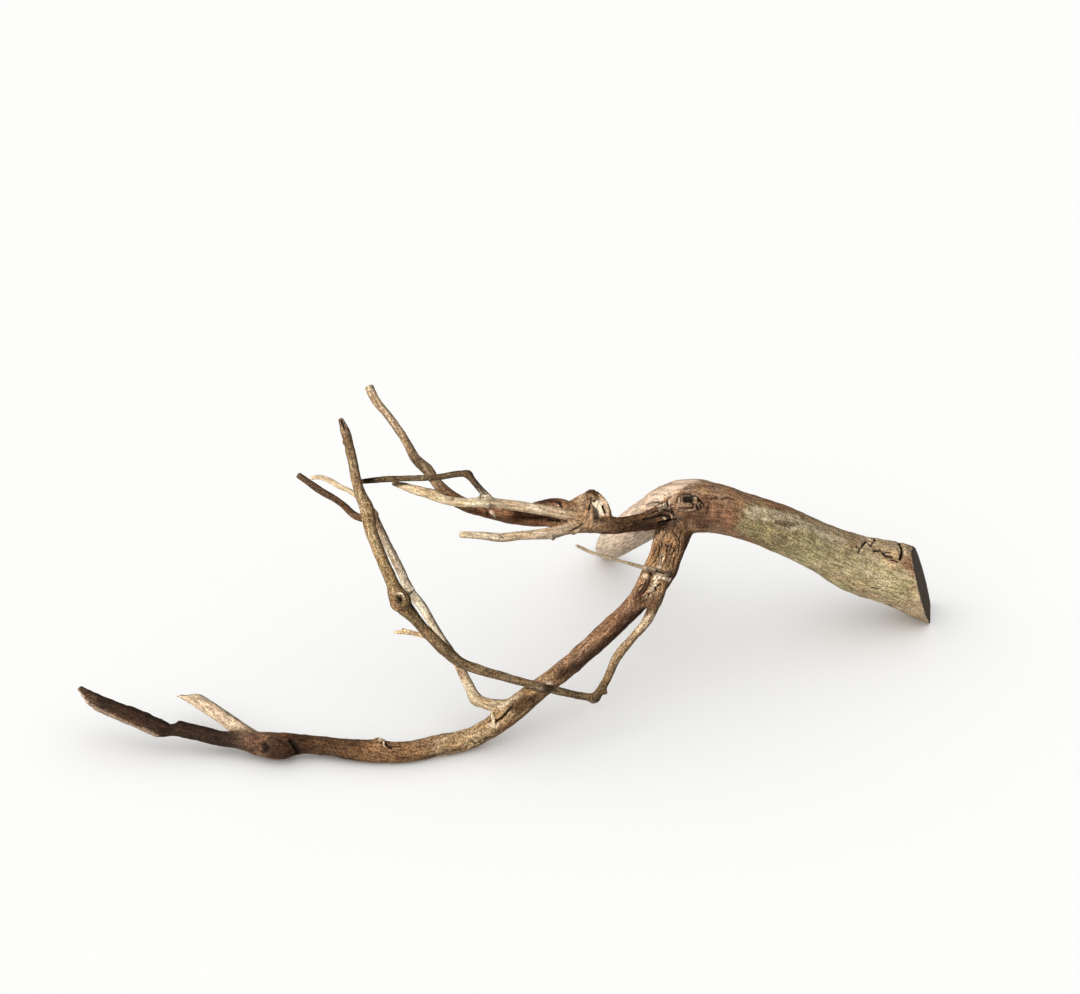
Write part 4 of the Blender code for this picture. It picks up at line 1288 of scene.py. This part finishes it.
lump_place = add(relief, "ShaderNodeVectorMath", {"operation": "DIVIDE"}, i0=place,
                 i1=enter["Lump size"]).outputs[0]
lump_noise = add(relief, "ShaderNodeTexNoise", Vector=lump_place, Scale=1.0, Detail=1.0).outputs[0]
lump_up = add(relief, "ShaderNodeMapRange", Value=lump_noise, To_Min=-1.0, To_Max=1.0).outputs[0]
lump_up = add(relief, "ShaderNodeMath", TIMES, i0=lump_up, i1=told["lumpy"]).outputs[0]
grit_place = add(relief, "ShaderNodeVectorMath", {"operation": "DIVIDE"}, i0=place,
                 i1=enter["Grit size"]).outputs[0]
grit_noise = add(relief, "ShaderNodeTexNoise", Vector=grit_place, Scale=1.0, Detail=2.0,
                 Roughness=0.6).outputs[0]
grit_up = add(relief, "ShaderNodeMapRange", Value=grit_noise, To_Min=-1.0, To_Max=1.0).outputs[0]
grit_up = add(relief, "ShaderNodeMath", TIMES, i0=grit_up, i1=enter["Grit height"]).outputs[0]
grit_up = add(relief, "ShaderNodeMath", TIMES, i0=grit_up, i1=told["gritty"]).outputs[0]
texture_up = add(relief, "ShaderNodeMath", i0=ridge_up, i1=grit_up).outputs[0]
form_up = add(relief, "ShaderNodeMath", i0=lump_up, i1=told["push"]).outputs[0]
height = add(relief, "ShaderNodeMath", i0=texture_up, i1=form_up).outputs[0]
# the texture's height is kept for the bark's painted shade in low places
kept_height = add(relief, "GeometryNodeStoreNamedAttribute", {"data_type": "FLOAT", "domain": "POINT"},
                  Geometry=enter["Geometry"], Name="relief", Value=texture_up).outputs[0]
offset = add(relief, "ShaderNodeVectorMath", {"operation": "SCALE"}, i0=normal, Scale=height).outputs[0]
moved = add(relief, "GeometryNodeSetPosition", Geometry=kept_height, Offset=offset).outputs[0]
whole = add(relief, "GeometryNodeRealizeInstances", Geometry=moved).outputs[0]
barked = add(relief, "GeometryNodeSetMaterial", Geometry=whole, Material=bark).outputs[0]
is_sawn = add(relief, "ShaderNodeMath", {"operation": "GREATER_THAN"}, i0=told["sawn"], i1=0.6).outputs[0]
finished = add(relief, "GeometryNodeSetMaterial", Geometry=barked, Selection=is_sawn,
               Material=end_grain).outputs[0]
add(relief, "NodeGroupOutput", Geometry=finished)

relief_step = skin.modifiers.new("bark relief", "NODES")
relief_step.node_group = relief
sockets = {s.name: s.identifier for s in relief.interface.items_tree if s.in_out == "INPUT"}
relief_step[sockets["Ridge length"]] = 7.0 * MM
relief_step[sockets["Ridge width"]] = 1.5 * MM
relief_step[sockets["Lump size"]] = 6.0 * MM
relief_step[sockets["Grit size"]] = 1.5 * MM
relief_step[sockets["Grit height"]] = 0.12 * MM
flattened(skin)

# fewer triangles where nothing small shows
triangles = sum(len(p.vertices) - 2 for p in skin.data.polygons)
kept = skin.vertex_groups.new(name="kept fine")
kept.add(np.flatnonzero(in_fine_spots(read_points(skin.data))).tolist(), 1.0, "REPLACE")
fewer = skin.modifiers.new("fewer triangles", "DECIMATE")
fewer.ratio = MOST_TRIANGLES / triangles
fewer.vertex_group = "kept fine"
fewer.invert_vertex_group = True
flattened(skin)

# The finished wood stays inside the solid's box and rides as one piece in its place.

spots = read_points(skin.data)
low = np.array(cad_box[0]) / MM
high = np.array(cad_box[1]) / MM
write_points(skin.data, np.clip(spots, low, high))

skin.data.shade_smooth()
for owner in list(skin.users_collection):
    owner.objects.unlink(skin)
wood_group.objects.link(skin)

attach(skin, "root")
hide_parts("talawa_wood")
